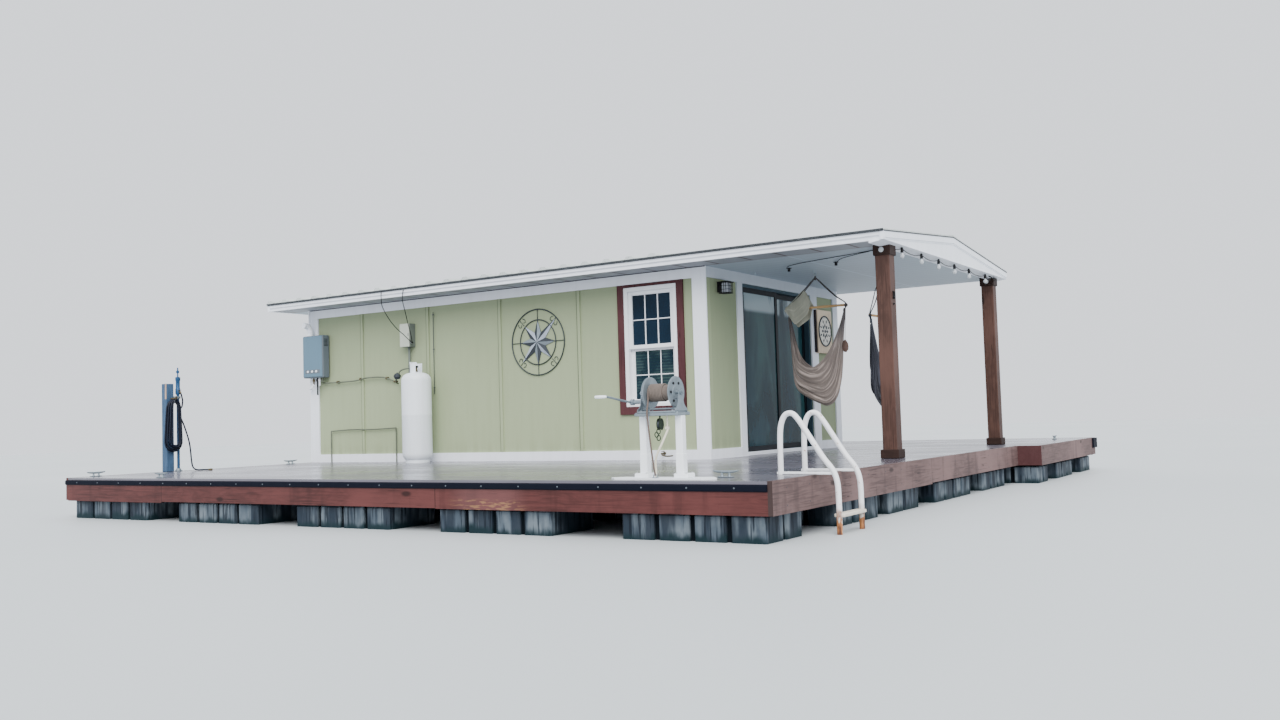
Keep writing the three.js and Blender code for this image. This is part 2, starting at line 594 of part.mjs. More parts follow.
const supply = { x: [-7065, -6893], z: [1510, 1816], depth: 118, gland: 16 };
const conduit = { x: -6970, out: 40, radius: 17, low: 500 };
const cableRadius = 7;
const eaveFace = roof.near - cableRadius - SEAT;
const glandAt = [3470, 1562];     // y and z
const cables = [                  // each comes over the eave and hangs down to the gland
  [[-7093, eaveFace, 2222], [-7088, eaveFace, 2072], [-7076, 3190, 1969], [-7041, 3250, 1852],
    [-6985, 3310, 1747], [-6919, 3370, 1663], [-6874, 3410, 1600], [-6872, ...glandAt]],
  [[-6695, eaveFace, 2215], [-6712, eaveFace, 2138], [-6721, 3165, 2062], [-6752, 3240, 1928],
    [-6792, 3320, 1805], [-6825, 3400, 1674], [-6850, 3448, 1588], [-6876, ...glandAt]],
];
function buildElectricBox() {
  const y = cabin.front - conduit.out;
  const side = supply.x[1];
  add('electric_box', join([
    box(supply.x, [cabin.front - supply.depth, cabin.front - SEAT], supply.z),
    bar([conduit.x, y, conduit.low], [conduit.x, y, supply.z[0] + BITE], conduit.radius),
    bar([side - BITE, ...glandAt], [side + 2 * supply.gland, ...glandAt], supply.gland),
    ...cables.map((run) => tube(run, cableRadius, 14, 6)),
  ]), paint.greyBox);
}

// Wrought compass ornament: two rings, spokes and a faceted eight-pointed star
const rose = { x: -4845, z: 1443, outer: 410, inner: 280, ring: 13, depth: 9, spoke: 4.5, spokeFrom: 150 };
const blades = [                  // turned from the axes, length, half its width, height of the crown
  [0, 268, 42, 30], [Math.PI / 4, 205, 36, 24],
];
const bladeEdge = 4;
function buildCompass() {
  const back = cabin.front - SEAT;
  const at = (angle, r, out) => [rose.x + r * Math.cos(angle), back - out, rose.z + r * Math.sin(angle)];
  const ring = (radius) => {
    const path = (r) => Array.from({ length: 36 }, (_, i) => {
      const [x, , z] = at((2 * Math.PI * i) / 36, r, 0);
      return [x, z];
    });
    return solidOf(prism(path(radius), 'y', back - rose.depth, back))
      .subtract(solidOf(prism(path(radius - rose.ring), 'y', back - rose.depth - PAST, back + PAST)));
  };
  const blade = (angle, length, width, height) => {
    const right = angle - Math.PI / 2;
    const left = angle + Math.PI / 2;
    const front = [at(angle, length, bladeEdge), at(left, width, bladeEdge), at(right, width, bladeEdge),
      at(angle, 0, height), at(angle + Math.PI, width, bladeEdge)];
    const under = [at(angle, width / 2, 0), at(left, width / 4, 0), at(right, width / 4, 0)];
    return wasm.Manifold.hull([...front, ...under]);
  };
  let star = ring(rose.outer).add(ring(rose.inner));
  for (let i = 0; i < 4; i += 1) {
    const axis = (Math.PI * i) / 2;
    const out = rose.depth / 2;
    star = star.add(solidOf(bar(at(axis, rose.spokeFrom, out), at(axis, rose.outer - rose.ring / 2, out),
      rose.spoke, 6)));
    for (const [turn, length, width, height] of blades) {
      star = star.add(blade(axis + turn, length, width, height));
    }
  }
  add('compass_rose', geometryOf(star), paint.iron);
}

const wallBoard = { y: [6440, 6900], z: [1266, 1841], thickness: 40, disc: 195, discZ: 1560, carving: 9 };
function buildWallBoard() {
  const x = [cabin.right + TRIM + SEAT, cabin.right + TRIM + wallBoard.thickness];
  const middle = (wallBoard.y[0] + wallBoard.y[1]) / 2;
  const outline = [[0, 0], [wallBoard.disc, 0], [wallBoard.disc, wallBoard.carving], [0, wallBoard.carving]];
  const disc = turned(outline, 28, [x[1] - BITE, middle, wallBoard.discZ], 'x');
  add('wall_board', join([box(x, wallBoard.y, wallBoard.z), disc]), paint.board);
}

// Hand winch on its stand
const winch = {
  y: 155, drumZ: 668, crankZ: 603, plateZ: 512, left: -1165, right: -820, cheek: 15, floor: 525,
};
const standParts = [              // from and to along x, half its width, from and to in height
  [-1400, -610, 115, SEAT, 14],
  [-1228, -1108, 60, 13, 48], [-872, -752, 60, 13, 48],
  [-1189, -1129, 30, 47, 491], [-863, -803, 30, 47, 491],
  [-1190, -800, 95, 490, winch.plateZ],
];
const cheekOutline = [            // y, z
  [60, 520], [250, 520], [250, 535], [205, 570], [188, 630], [183, winch.drumZ], [172, 695], [155, 702],
  [138, 695], [127, winch.drumZ], [122, 630], [105, 570], [60, 535],
];
const drum = {
  axle: 16, flange: 123, thickness: 10, left: 55, right: 24, ropeLeft: 72, ropeRight: 60, step: 0.6,
};
const crank = {
  hub: 17, out: 108, armAt: 12, arm: 9, back: 288, splay: 55, rise: 45, grip: 105, gripRadius: 13,
};
function buildWinch() {
  add('winch_stand', join(standParts.map(([from, to, half, low, high]) => box(
    [from, to], [winch.y - half, winch.y + half], [low, high]))), paint.whitePaint);

  const across = [cheekOutline[0][0], cheekOutline[1][0]];
  add('winch_frame', join([
    box([winch.left, winch.right], across, [winch.plateZ + SEAT, winch.floor]),
    prism(cheekOutline, 'x', winch.left, winch.left + winch.cheek),
    prism(cheekOutline, 'x', winch.right - winch.cheek, winch.right),
  ]), paint.galvanised);

  const start = winch.left + winch.cheek + SEAT;
  const span = winch.right - winch.cheek - SEAT - start;
  const ropeEnd = span - drum.right - drum.thickness;
  const stepAt = drum.step * span;
  const profile = [                // radius, distance from the left end
    [0, 0], [drum.axle, 0], [drum.axle, drum.left], [drum.flange, drum.left],
    [drum.flange, drum.left + drum.thickness], [drum.ropeLeft, drum.left + drum.thickness],
    [drum.ropeLeft, stepAt], [drum.ropeRight, stepAt], [drum.ropeRight, ropeEnd],
    [drum.flange, ropeEnd], [drum.flange, span - drum.right], [drum.axle, span - drum.right],
    [drum.axle, span], [0, span],
  ];
  add('winch_drum', turned(profile, 28, [start, winch.y, winch.drumZ], 'x'), paint.galvanised);

  const hub = [winch.left - crank.out, winch.left - SEAT];
  const armX = hub[0] + crank.armAt;
  const grip = [armX - crank.splay, winch.y - crank.back, winch.crankZ + crank.rise];
  add('winch_crank', join([
    bar([hub[0], winch.y, winch.crankZ], [hub[1], winch.y, winch.crankZ], crank.hub, 12),
    bar([armX, winch.y + 10, winch.crankZ], grip, crank.arm),
    bar([grip[0] + 5, grip[1], grip[2]], [grip[0] - crank.grip, grip[1], grip[2]], crank.gripRadius, 10),
  ]), paint.galvanised);
}

// Swim ladder: two bent rails with a rear leg and a foot bar each, and three treads
const ladder = { near: 804, far: 1254, radius: 22, x: 160, bottom: -840, foot: [-345, 128], footHalf: 16 };
const railRun = [                 // x, z
  [-316, 4], [-314, 250], [-303, 380], [-265, 462], [-205, 476], [-150, 425], [-60, 290], [45, 132],
  [118, 40], [150, -40], [ladder.x, -150], [ladder.x, -420], [ladder.x, ladder.bottom],
];
const tread = { heights: [-310, -560, -810], half: 42, halfThick: 14 };
function buildLadder() {
  const rail = (y) => [
    tube(railRun.map(([x, z]) => [x, y, z]), ladder.radius, 28),
    box(ladder.foot, [y - ladder.footHalf, y + ladder.footHalf], [SEAT, ladder.radius]),
  ];
  const treads = tread.heights.map((z) => box([ladder.x - tread.half, ladder.x + tread.half],
    [ladder.near, ladder.far], [z - tread.halfThick, z + tread.halfThick]));
  add('swim_ladder', join([...rail(ladder.near), ...rail(ladder.far), ...treads]), paint.whitePaint);
}

// Utility post at the left edge with its standpipe, and the hose hung on it
const utility = { x: [-8930, -8830], y: [1210, 1310], top: 1085 };
const standpipe = { x: -8850, y: 1382, clamps: [300, 900], clampHeight: 30, clampHalf: 30 };
const standpipeParts = [          // from and to in height, radius, sides
  [SEAT + BITE, 1170, 18, 10], [960, 1172, 30, 10], [1160, 1290, 8, 8], [SEAT, 34, 46, 10],
];
const hosePeg = { y: 1274, z: 900, length: 20, radius: 12 };
function buildUtilityPost() {
  const { x, y } = standpipe;
  const peg = [hosePeg.y, hosePeg.z];
  add('utility_post', join([
    box(utility.x, utility.y, [SEAT, utility.top]),
    ...standpipeParts.map(([low, high, radius, sides]) => bar([x, y, low], [x, y, high], radius, sides)),
    ...standpipe.clamps.map((z) => box([x - standpipe.clampHalf, x + 10], [utility.y[1] - BITE, y],
      [z, z + standpipe.clampHeight])),
    bar([utility.x[1] - 5, ...peg], [utility.x[1] + hosePeg.length, ...peg], hosePeg.radius),
  ]), paint.oldPaint);
}

const hank = { half: 130, low: 250, high: 762, thickness: 80 };
function buildHose() {
  const start = utility.x[1] + hosePeg.length + SEAT;
  const ends = [[hank.low + hank.half, Math.PI], [hank.high, 0]];   // centre's height, where its arc starts
  const outline = ends.flatMap(([z, from]) => Array.from({ length: 9 }, (_, i) => {
    const angle = from + (Math.PI * i) / 8;
    return [hosePeg.y + hank.half * Math.cos(angle), z + hank.half * Math.sin(angle)];
  }));
  add('hose_hank', prism(outline, 'x', start, start + hank.thickness), paint.rubber);
}

// String lights along the porch's end, from post to post
const bulbs = [3762, 4360, 4930, 5500, 6060, 6741];   // y of each
const lights = { x: -300, back: 50, drop: 34, sag: 12, wire: 5, run: 30 };
const bulbProfile = [             // radius, height
  [0, -64], [14, -60], [24, -44], [22, -28], [13, -14], [13, 12], [0, 12],
];
function buildStringLights() {
  const high = cabin.top - lights.drop;
  const overlap = (post.cap - post.shaft) / 2 + SEAT;
  const start = postCorners[0][1] + post.shaft + overlap;
  const end = postCorners[1][1] - overlap;
  const back = lights.x - lights.back;
  const wire = [[back, start, high], [back, start + lights.run, high],
    ...bulbs.map((y) => [lights.x, y, high + lights.sag]),
    [back, end - lights.run, high], [back, end, high]];
  const lamp = (y) => turned(bulbProfile, 8, [lights.x, y, high + 4]);
  const clip = (y) => bar([lights.x, y, high + 4], [lights.x, y, cabin.top - SEAT], lights.wire, 6);
  add('string_lights', join([tube(wire, lights.wire, 26, 6), ...bulbs.map(lamp), ...bulbs.map(clip)]),
    paint.black);
}

// A hanging chair: ring, cords and wooden bar in one piece, the empty cloth sling in another.
// The sling is a band of cloth from bar end to bar end, folded lengthwise like a pocket.
const chair = {
  half: 385, bar: 14, ringInner: 14, ringOuter: 21, ringWidth: 6, cord: 6, wrap: 11, endCord: 7, endWrap: 12,
  cloth: 5, steep: 200,
};
const chairs = [[hookPlaces[0], 1700], [hookPlaces[1], 1600]];   // hook, height of the wooden bar
const slingDrop = 1700;           // height of the bar that the sling's stations are written for
const slingStations = [           // fold's x and height, rims' x and height, half the width between rims
  [-362, 1590, -343, 1650, 12], [-348, 1460, -326, 1540, 22], [-334, 1300, -306, 1410, 38],
  [-322, 1120, -285, 1280, 55], [-316, 960, -262, 1185, 70], [-300, 830, -232, 1115, 82],
  [-262, 748, -190, 1065, 90], [-190, 697, -135, 1025, 95], [-95, 645, -75, 1000, 98],
  [0, 600, -20, 1005, 100], [90, 572, 30, 1030, 100], [170, 615, 78, 1070, 96], [232, 720, 125, 1120, 88],
  [270, 860, 170, 1190, 76], [292, 1020, 212, 1270, 62], [308, 1180, 250, 1360, 48],
  [322, 1330, 288, 1460, 34], [338, 1470, 318, 1560, 22], [355, 1590, 343, 1650, 12],
];
function slingSection([foldX, foldZ, rimX, rimZ, half]) {
  const inward = Math.max(-1, Math.min(1, foldX / chair.steep));
  const point = (side, share, inset) => new THREE.Vector3(
    foldX + (rimX - foldX) * share - inward * inset,
    side * (half - inset) * Math.sqrt(share),
    foldZ + inset + (rimZ - foldZ - inset) * share);
  const shares = [1, 0.55, 0.2, 0];
  const line = (inset) => [...shares.map((share) => point(-1, share, inset)),
    ...shares.slice(0, -1).reverse().map((share) => point(1, share, inset))];
  return [...line(0), ...line(chair.cloth).reverse()];
}
function loft(sections) {
  const size = sections[0].length;
  const positions = sections.flat().flatMap((v) => v.toArray());
  const index = [];
  const quad = (a, b, c, d) => index.push(a, b, c, a, c, d);
  for (let i = 0; i + 1 < sections.length; i += 1) {
    for (let k = 0; k < size; k += 1) {
      const next = (k + 1) % size;
      quad(i * size + k, i * size + next, (i + 1) * size + next, (i + 1) * size + k);
    }
  }
  const last = (sections.length - 1) * size;
  for (let k = 0; k + 1 < size / 2; k += 1) {
    quad(k, size - 1 - k, size - 2 - k, k + 1);
    quad(last + k, last + k + 1, last + size - 2 - k, last + size - 1 - k);
  }
  const geometry = new THREE.BufferGeometry();
  geometry.setAttribute('position', new THREE.BufferAttribute(new Float32Array(positions), 3));
  geometry.setIndex(index);
  return geometry;
}
function buildChair(number, [[x, y, turn], barZ]) {
  const place = (geometry) => geometry.rotateZ(turn).translate(x, y, 0);
  const sides = 16;
  const circle = (radius, z) => Array.from({ length: sides }, (_, i) => {
    const angle = (2 * Math.PI * i) / sides;
    return [radius * Math.cos(angle), z + radius * Math.sin(angle)];
  });
  const flat = chair.ringInner * Math.cos(Math.PI / sides);
  const ringZ = cabin.top - hook.hang + hook.pin + SEAT - flat;
  const width = chair.ringWidth / 2;
  const ring = geometryOf(solidOf(prism(circle(chair.ringOuter, ringZ), 'x', -width, width))
    .subtract(solidOf(prism(circle(chair.ringInner, ringZ), 'x', -width - BITE, width + BITE))));
  const knot = ringZ - chair.ringOuter - 8;
  const barEnd = chair.half - 18;
  const drop = slingDrop - barZ;
  const [, , rimX, rimZ] = slingStations[slingStations.length - 1];
  const cloth = { x: rimX, z: rimZ + SEAT - drop };
  const cords = [-1, 1].flatMap((side) => [
    bar([0, 0, knot], [side * barEnd, 0, barZ], chair.cord, 6),
    bar([side * barEnd, 0, barZ + 4], [side * cloth.x, 0, cloth.z + 26], chair.endCord, 6),
    bar([side * cloth.x, 0, cloth.z], [side * cloth.x, 0, cloth.z + 32], chair.endWrap, 8),
  ]);
  add(`chair_${number}_bar`, place(join([
    ring,
    bar([0, 0, knot - 30], [0, 0, ringZ - chair.ringInner - 3], chair.wrap, 8),
    bar([-chair.half, 0, barZ], [chair.half, 0, barZ], chair.bar, 10),
    ...cords,
  ])), paint.wood);
  const sling = geometryOf(solidOf(loft(slingStations.map(slingSection)))).translate(0, 0, -drop);
  add(`chair_${number}_sling`, place(sling), paint.cloth);
}

buildDecking();
buildDeckFrame();
buildFascias();
buildBumpers();
buildFloats();
buildWalls();
buildTrim();
buildWindow('front', windowCentres.front, cabin.front, -1);
buildWindow('rear', windowCentres.rear, cabin.back, 1);
buildDoor();
buildCeiling();
buildEaves();
buildGables();
buildRoof();
buildPosts();
buildLantern();
buildHeater();
buildTank();
buildGasPipe();
buildElectricBox();
buildCompass();
buildWallBoard();
buildWinch();
buildLadder();
buildUtilityPost();
buildHose();
buildStringLights();
chairs.forEach((place, i) => buildChair(i + 1, place));

// Move the origin to the middle of the base
boat.updateMatrixWorld(true);
const bounds = new THREE.Box3().setFromObject(boat);
boat.position.set(-(bounds.min.x + bounds.max.x) / 2, -(bounds.min.y + bounds.max.y) / 2, -bounds.min.z);

export default boat;
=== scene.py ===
"""Looks for a floating cabin on a float dock, built round its fixed frame of solids."""
import json
import math

import bmesh
import bpy
from mathutils import Matrix, Vector
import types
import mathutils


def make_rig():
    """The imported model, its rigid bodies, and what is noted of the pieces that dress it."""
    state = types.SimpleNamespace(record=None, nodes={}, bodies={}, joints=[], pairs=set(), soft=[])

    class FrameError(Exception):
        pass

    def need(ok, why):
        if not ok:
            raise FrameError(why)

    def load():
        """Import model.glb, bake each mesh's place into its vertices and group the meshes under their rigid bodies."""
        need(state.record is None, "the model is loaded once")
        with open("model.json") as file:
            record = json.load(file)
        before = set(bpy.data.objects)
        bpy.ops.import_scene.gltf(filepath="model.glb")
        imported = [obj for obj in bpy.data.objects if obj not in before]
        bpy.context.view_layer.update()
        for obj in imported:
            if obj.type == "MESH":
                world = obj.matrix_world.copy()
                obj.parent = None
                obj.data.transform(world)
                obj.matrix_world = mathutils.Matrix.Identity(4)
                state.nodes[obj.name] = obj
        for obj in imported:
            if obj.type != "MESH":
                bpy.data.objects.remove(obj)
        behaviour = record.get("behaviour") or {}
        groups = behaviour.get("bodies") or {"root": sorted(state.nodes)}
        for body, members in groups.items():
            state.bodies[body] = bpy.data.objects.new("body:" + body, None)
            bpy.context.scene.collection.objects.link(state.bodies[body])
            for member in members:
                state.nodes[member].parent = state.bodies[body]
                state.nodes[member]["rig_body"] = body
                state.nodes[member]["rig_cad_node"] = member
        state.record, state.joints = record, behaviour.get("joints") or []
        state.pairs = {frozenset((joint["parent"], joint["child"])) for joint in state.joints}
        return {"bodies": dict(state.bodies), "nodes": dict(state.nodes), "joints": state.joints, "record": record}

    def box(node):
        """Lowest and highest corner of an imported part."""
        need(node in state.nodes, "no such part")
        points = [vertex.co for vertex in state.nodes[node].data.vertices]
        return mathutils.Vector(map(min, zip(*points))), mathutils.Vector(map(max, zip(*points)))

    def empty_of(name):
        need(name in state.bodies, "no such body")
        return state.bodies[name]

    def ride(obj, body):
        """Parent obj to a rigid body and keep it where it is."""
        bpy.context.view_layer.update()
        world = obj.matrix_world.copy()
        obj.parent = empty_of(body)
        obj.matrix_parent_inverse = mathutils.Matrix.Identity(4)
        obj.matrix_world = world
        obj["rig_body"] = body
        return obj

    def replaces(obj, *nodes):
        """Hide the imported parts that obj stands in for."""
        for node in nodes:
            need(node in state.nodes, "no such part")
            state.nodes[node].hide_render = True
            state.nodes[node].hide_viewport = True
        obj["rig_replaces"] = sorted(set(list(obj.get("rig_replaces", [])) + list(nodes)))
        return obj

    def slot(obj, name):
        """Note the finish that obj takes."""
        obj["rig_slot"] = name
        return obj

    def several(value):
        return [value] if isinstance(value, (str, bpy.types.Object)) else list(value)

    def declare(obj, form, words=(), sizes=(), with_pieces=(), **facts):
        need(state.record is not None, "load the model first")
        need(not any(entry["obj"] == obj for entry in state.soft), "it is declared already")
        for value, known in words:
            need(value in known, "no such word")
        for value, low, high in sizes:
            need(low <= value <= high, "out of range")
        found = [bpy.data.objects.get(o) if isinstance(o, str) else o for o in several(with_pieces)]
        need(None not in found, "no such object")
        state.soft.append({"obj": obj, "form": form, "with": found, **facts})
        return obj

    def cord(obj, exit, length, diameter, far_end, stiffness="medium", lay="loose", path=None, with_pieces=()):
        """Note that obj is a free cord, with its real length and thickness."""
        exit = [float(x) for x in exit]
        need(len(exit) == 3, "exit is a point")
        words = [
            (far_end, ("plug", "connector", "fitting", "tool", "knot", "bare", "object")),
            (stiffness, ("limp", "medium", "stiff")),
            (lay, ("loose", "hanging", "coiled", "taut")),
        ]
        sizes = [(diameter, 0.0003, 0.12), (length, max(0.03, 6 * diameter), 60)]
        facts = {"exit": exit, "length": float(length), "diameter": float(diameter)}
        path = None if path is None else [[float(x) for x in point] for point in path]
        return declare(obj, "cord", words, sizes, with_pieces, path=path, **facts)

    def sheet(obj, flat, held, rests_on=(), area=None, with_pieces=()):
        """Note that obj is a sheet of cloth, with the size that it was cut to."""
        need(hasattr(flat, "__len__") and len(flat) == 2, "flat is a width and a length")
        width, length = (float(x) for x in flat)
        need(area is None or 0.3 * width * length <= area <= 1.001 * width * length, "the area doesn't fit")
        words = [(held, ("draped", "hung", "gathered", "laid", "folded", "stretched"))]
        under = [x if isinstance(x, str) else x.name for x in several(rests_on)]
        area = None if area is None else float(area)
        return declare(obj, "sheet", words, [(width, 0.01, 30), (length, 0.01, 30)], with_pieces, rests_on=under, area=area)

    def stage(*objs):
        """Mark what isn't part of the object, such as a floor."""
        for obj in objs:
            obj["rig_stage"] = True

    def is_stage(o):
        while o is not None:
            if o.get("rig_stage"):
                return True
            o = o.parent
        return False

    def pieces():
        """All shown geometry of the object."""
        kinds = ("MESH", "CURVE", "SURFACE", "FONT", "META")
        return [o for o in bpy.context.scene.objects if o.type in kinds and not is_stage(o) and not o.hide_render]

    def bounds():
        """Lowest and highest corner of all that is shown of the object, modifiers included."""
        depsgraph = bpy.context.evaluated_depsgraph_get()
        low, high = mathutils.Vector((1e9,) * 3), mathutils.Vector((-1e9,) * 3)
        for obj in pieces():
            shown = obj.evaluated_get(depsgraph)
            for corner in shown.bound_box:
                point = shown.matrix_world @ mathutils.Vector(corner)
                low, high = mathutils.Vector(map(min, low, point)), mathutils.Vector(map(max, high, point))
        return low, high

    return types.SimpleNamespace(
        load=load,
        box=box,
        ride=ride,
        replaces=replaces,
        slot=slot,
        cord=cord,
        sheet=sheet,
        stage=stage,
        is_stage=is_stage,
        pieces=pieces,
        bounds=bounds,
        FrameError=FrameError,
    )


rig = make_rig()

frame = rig.load()
CAD_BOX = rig.bounds()

bl_info = {
    "name": "Houseboat",
    "version": (1, 0, 0),
    "blender": (4, 5, 0),
    "location": "View3D > Sidebar > Houseboat",
    "description": "Builds the boards, metal, glass, cloth and cords of a floating cabin",
    "category": "Add Mesh",
}

# Places are given from the deck's near corner: x along the front edge, y away from it, z up
CORNER = Vector((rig.box("fascia_front")[1].x + 0.0383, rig.box("decking")[0].y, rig.box("decking")[1].z))
WATERLINE = CORNER.z - 0.456
LEFT, RIGHT, FRONT, BACK = -8.91, -2.494, 3.558, 7.198   # faces of the cabin's walls
DECK_LEFT = -8.94
LEAST = 0.0002                                           # radius that closes a turned shape
FINISHES = {}                                            # every mixed material, by the name it was given


def at(x, y, z):
    return CORNER + Vector((x, y, z))


def srgb(red, green, blue):
    """A screen colour of 0 to 255 as linear light."""
    def linear(value):
        value /= 255
        return value / 12.92 if value <= 0.04045 else ((value + 0.055) / 1.055) ** 2.4
    return (linear(red), linear(green), linear(blue), 1.0)


def tint(colour, share):
    """The same colour, darker or lighter by a share of its light."""
    return tuple(min(1.0, part * share) for part in tuple(colour)[:3]) + (1.0,)


# Shader maths
def sum_of(operation, swapped=False):
    """A method that adds one Math node with the wire and what it is reckoned with."""
    def method(self, *others):
        values = [self, *others]
        inputs = {str(i): value for i, value in enumerate(values[::-1] if swapped else values)}
        return self.paint.node("ShaderNodeMath", {"operation": operation}, **inputs)
    return method


class Wire:
    """An output socket that adds Math nodes when it is used in an expression."""
    __add__ = __radd__ = sum_of("ADD")
    __mul__ = __rmul__ = sum_of("MULTIPLY")
    __sub__, __rsub__ = sum_of("SUBTRACT"), sum_of("SUBTRACT", swapped=True)
    __truediv__ = sum_of("DIVIDE")
    floor, fraction, absolute = sum_of("FLOOR"), sum_of("FRACT"), sum_of("ABSOLUTE")

    def __init__(self, paint, socket):
        self.paint, self.socket = paint, socket

    def part(self, letter):
        """One coordinate of a point."""
        split = self.paint.node("ShaderNodeSeparateXYZ", Vector=self).socket.node
        return Wire(self.paint, split.outputs[letter])

    def over(self, edge, soft=0.02):
        """0 below edge, 1 above it, turning over a soft width."""
        return self.paint.node("ShaderNodeMapRange", {"interpolation_type": "SMOOTHSTEP"}, Value=self,
            **{"From Min": edge - soft, "From Max": edge + soft})

    def under(self, edge, soft=0.02):
        return 1 - self.over(edge, soft)

    def near(self, place, reach, soft):
        """1 within reach of a place, 0 away from it."""
        return (self - place).absolute().under(reach, soft)

    def repeat(self, pitch):
        """How far a point lies from the middle of its repeat, in shares of the pitch."""
        return ((self / pitch).fraction() - 0.5).absolute()


class Paint:
    """One material: its node tree, its coats of colour, and short calls for its textures."""

    def __init__(self, name, colour):
        FINISHES[name] = material = bpy.data.materials.new(name)
        material.use_nodes = True
        self.tree = material.node_tree
        self.shader = self.tree.nodes["Principled BSDF"]
        self.colour = self.base = self.shade(colour)

    def shade(self, colour):
        """Three screen values, or a share of the first coat's light, as a colour; else the colour itself."""
        if isinstance(colour, (int, float)):
            return tint(self.colour, colour)
        return srgb(*colour) if isinstance(colour, tuple) and len(colour) == 3 else colour

    def node(self, kind, settings=None, **inputs):
        made = self.tree.nodes.new(kind)
        for key, value in (settings or {}).items():
            setattr(made, key, value)
        for key, value in inputs.items():
            self.plug(made.inputs[int(key) if key.isdigit() else key], value)
        return Wire(self, next(socket for socket in made.outputs if socket.enabled))

    def plug(self, socket, value):
        if isinstance(value, Wire):
            self.tree.links.new(value.socket, socket)
        else:
            socket.default_value = value

    def place(self, stretch=(1, 1, 1), shift=(0, 0, 0), kind="Object"):
        """Object or UV coordinates, multiplied per axis."""
        point = Wire(self, self.tree.nodes.new("ShaderNodeTexCoord").outputs[kind])
        return self.node("ShaderNodeMapping", Vector=point, Scale=stretch, Location=shift)

    def axis(self, letter):
        return Wire(self, self.tree.nodes.new("ShaderNodeTexCoord").outputs["Object"]).part(letter)

    def noise(self, scale, stretch=(1, 1, 1), detail=4, shift=(0, 0, 0), distortion=0.0, kind="Object"):
        return self.node("ShaderNodeTexNoise", Vector=self.place(stretch, shift, kind), Scale=scale,
            Detail=detail, Distortion=distortion)

    def cells(self, scale, stretch=(1, 1, 1)):
        return self.node("ShaderNodeTexVoronoi", Vector=self.place(stretch), Scale=scale)

    def mix(self, share, low, high):
        inputs = {"0": share, "6": self.shade(low), "7": self.shade(high)}
        return self.node("ShaderNodeMix", {"data_type": "RGBA"}, **inputs)

    def coat(self, share, colour):
        """Lay one more colour over the last, where share is 1."""
        self.base = self.mix(share, self.base, colour)

    def finish(self, roughness=0.6, bump=None, depth=0.001, dull=None, **others):
        """Set the shader: bump is a height from 0 to 1 and depth its metres; dull weakens reflections."""
        inputs = {"Base Color": self.base, "Roughness": roughness, **others}
        if dull is not None:
            inputs["Specular IOR Level"] = dull
        if bump is not None:
            inputs["Normal"] = self.node("ShaderNodeBump", Height=bump, Distance=depth, Strength=1.0)
        for key, value in inputs.items():
            self.plug(self.shader.inputs[key.replace("_", " ")], value)


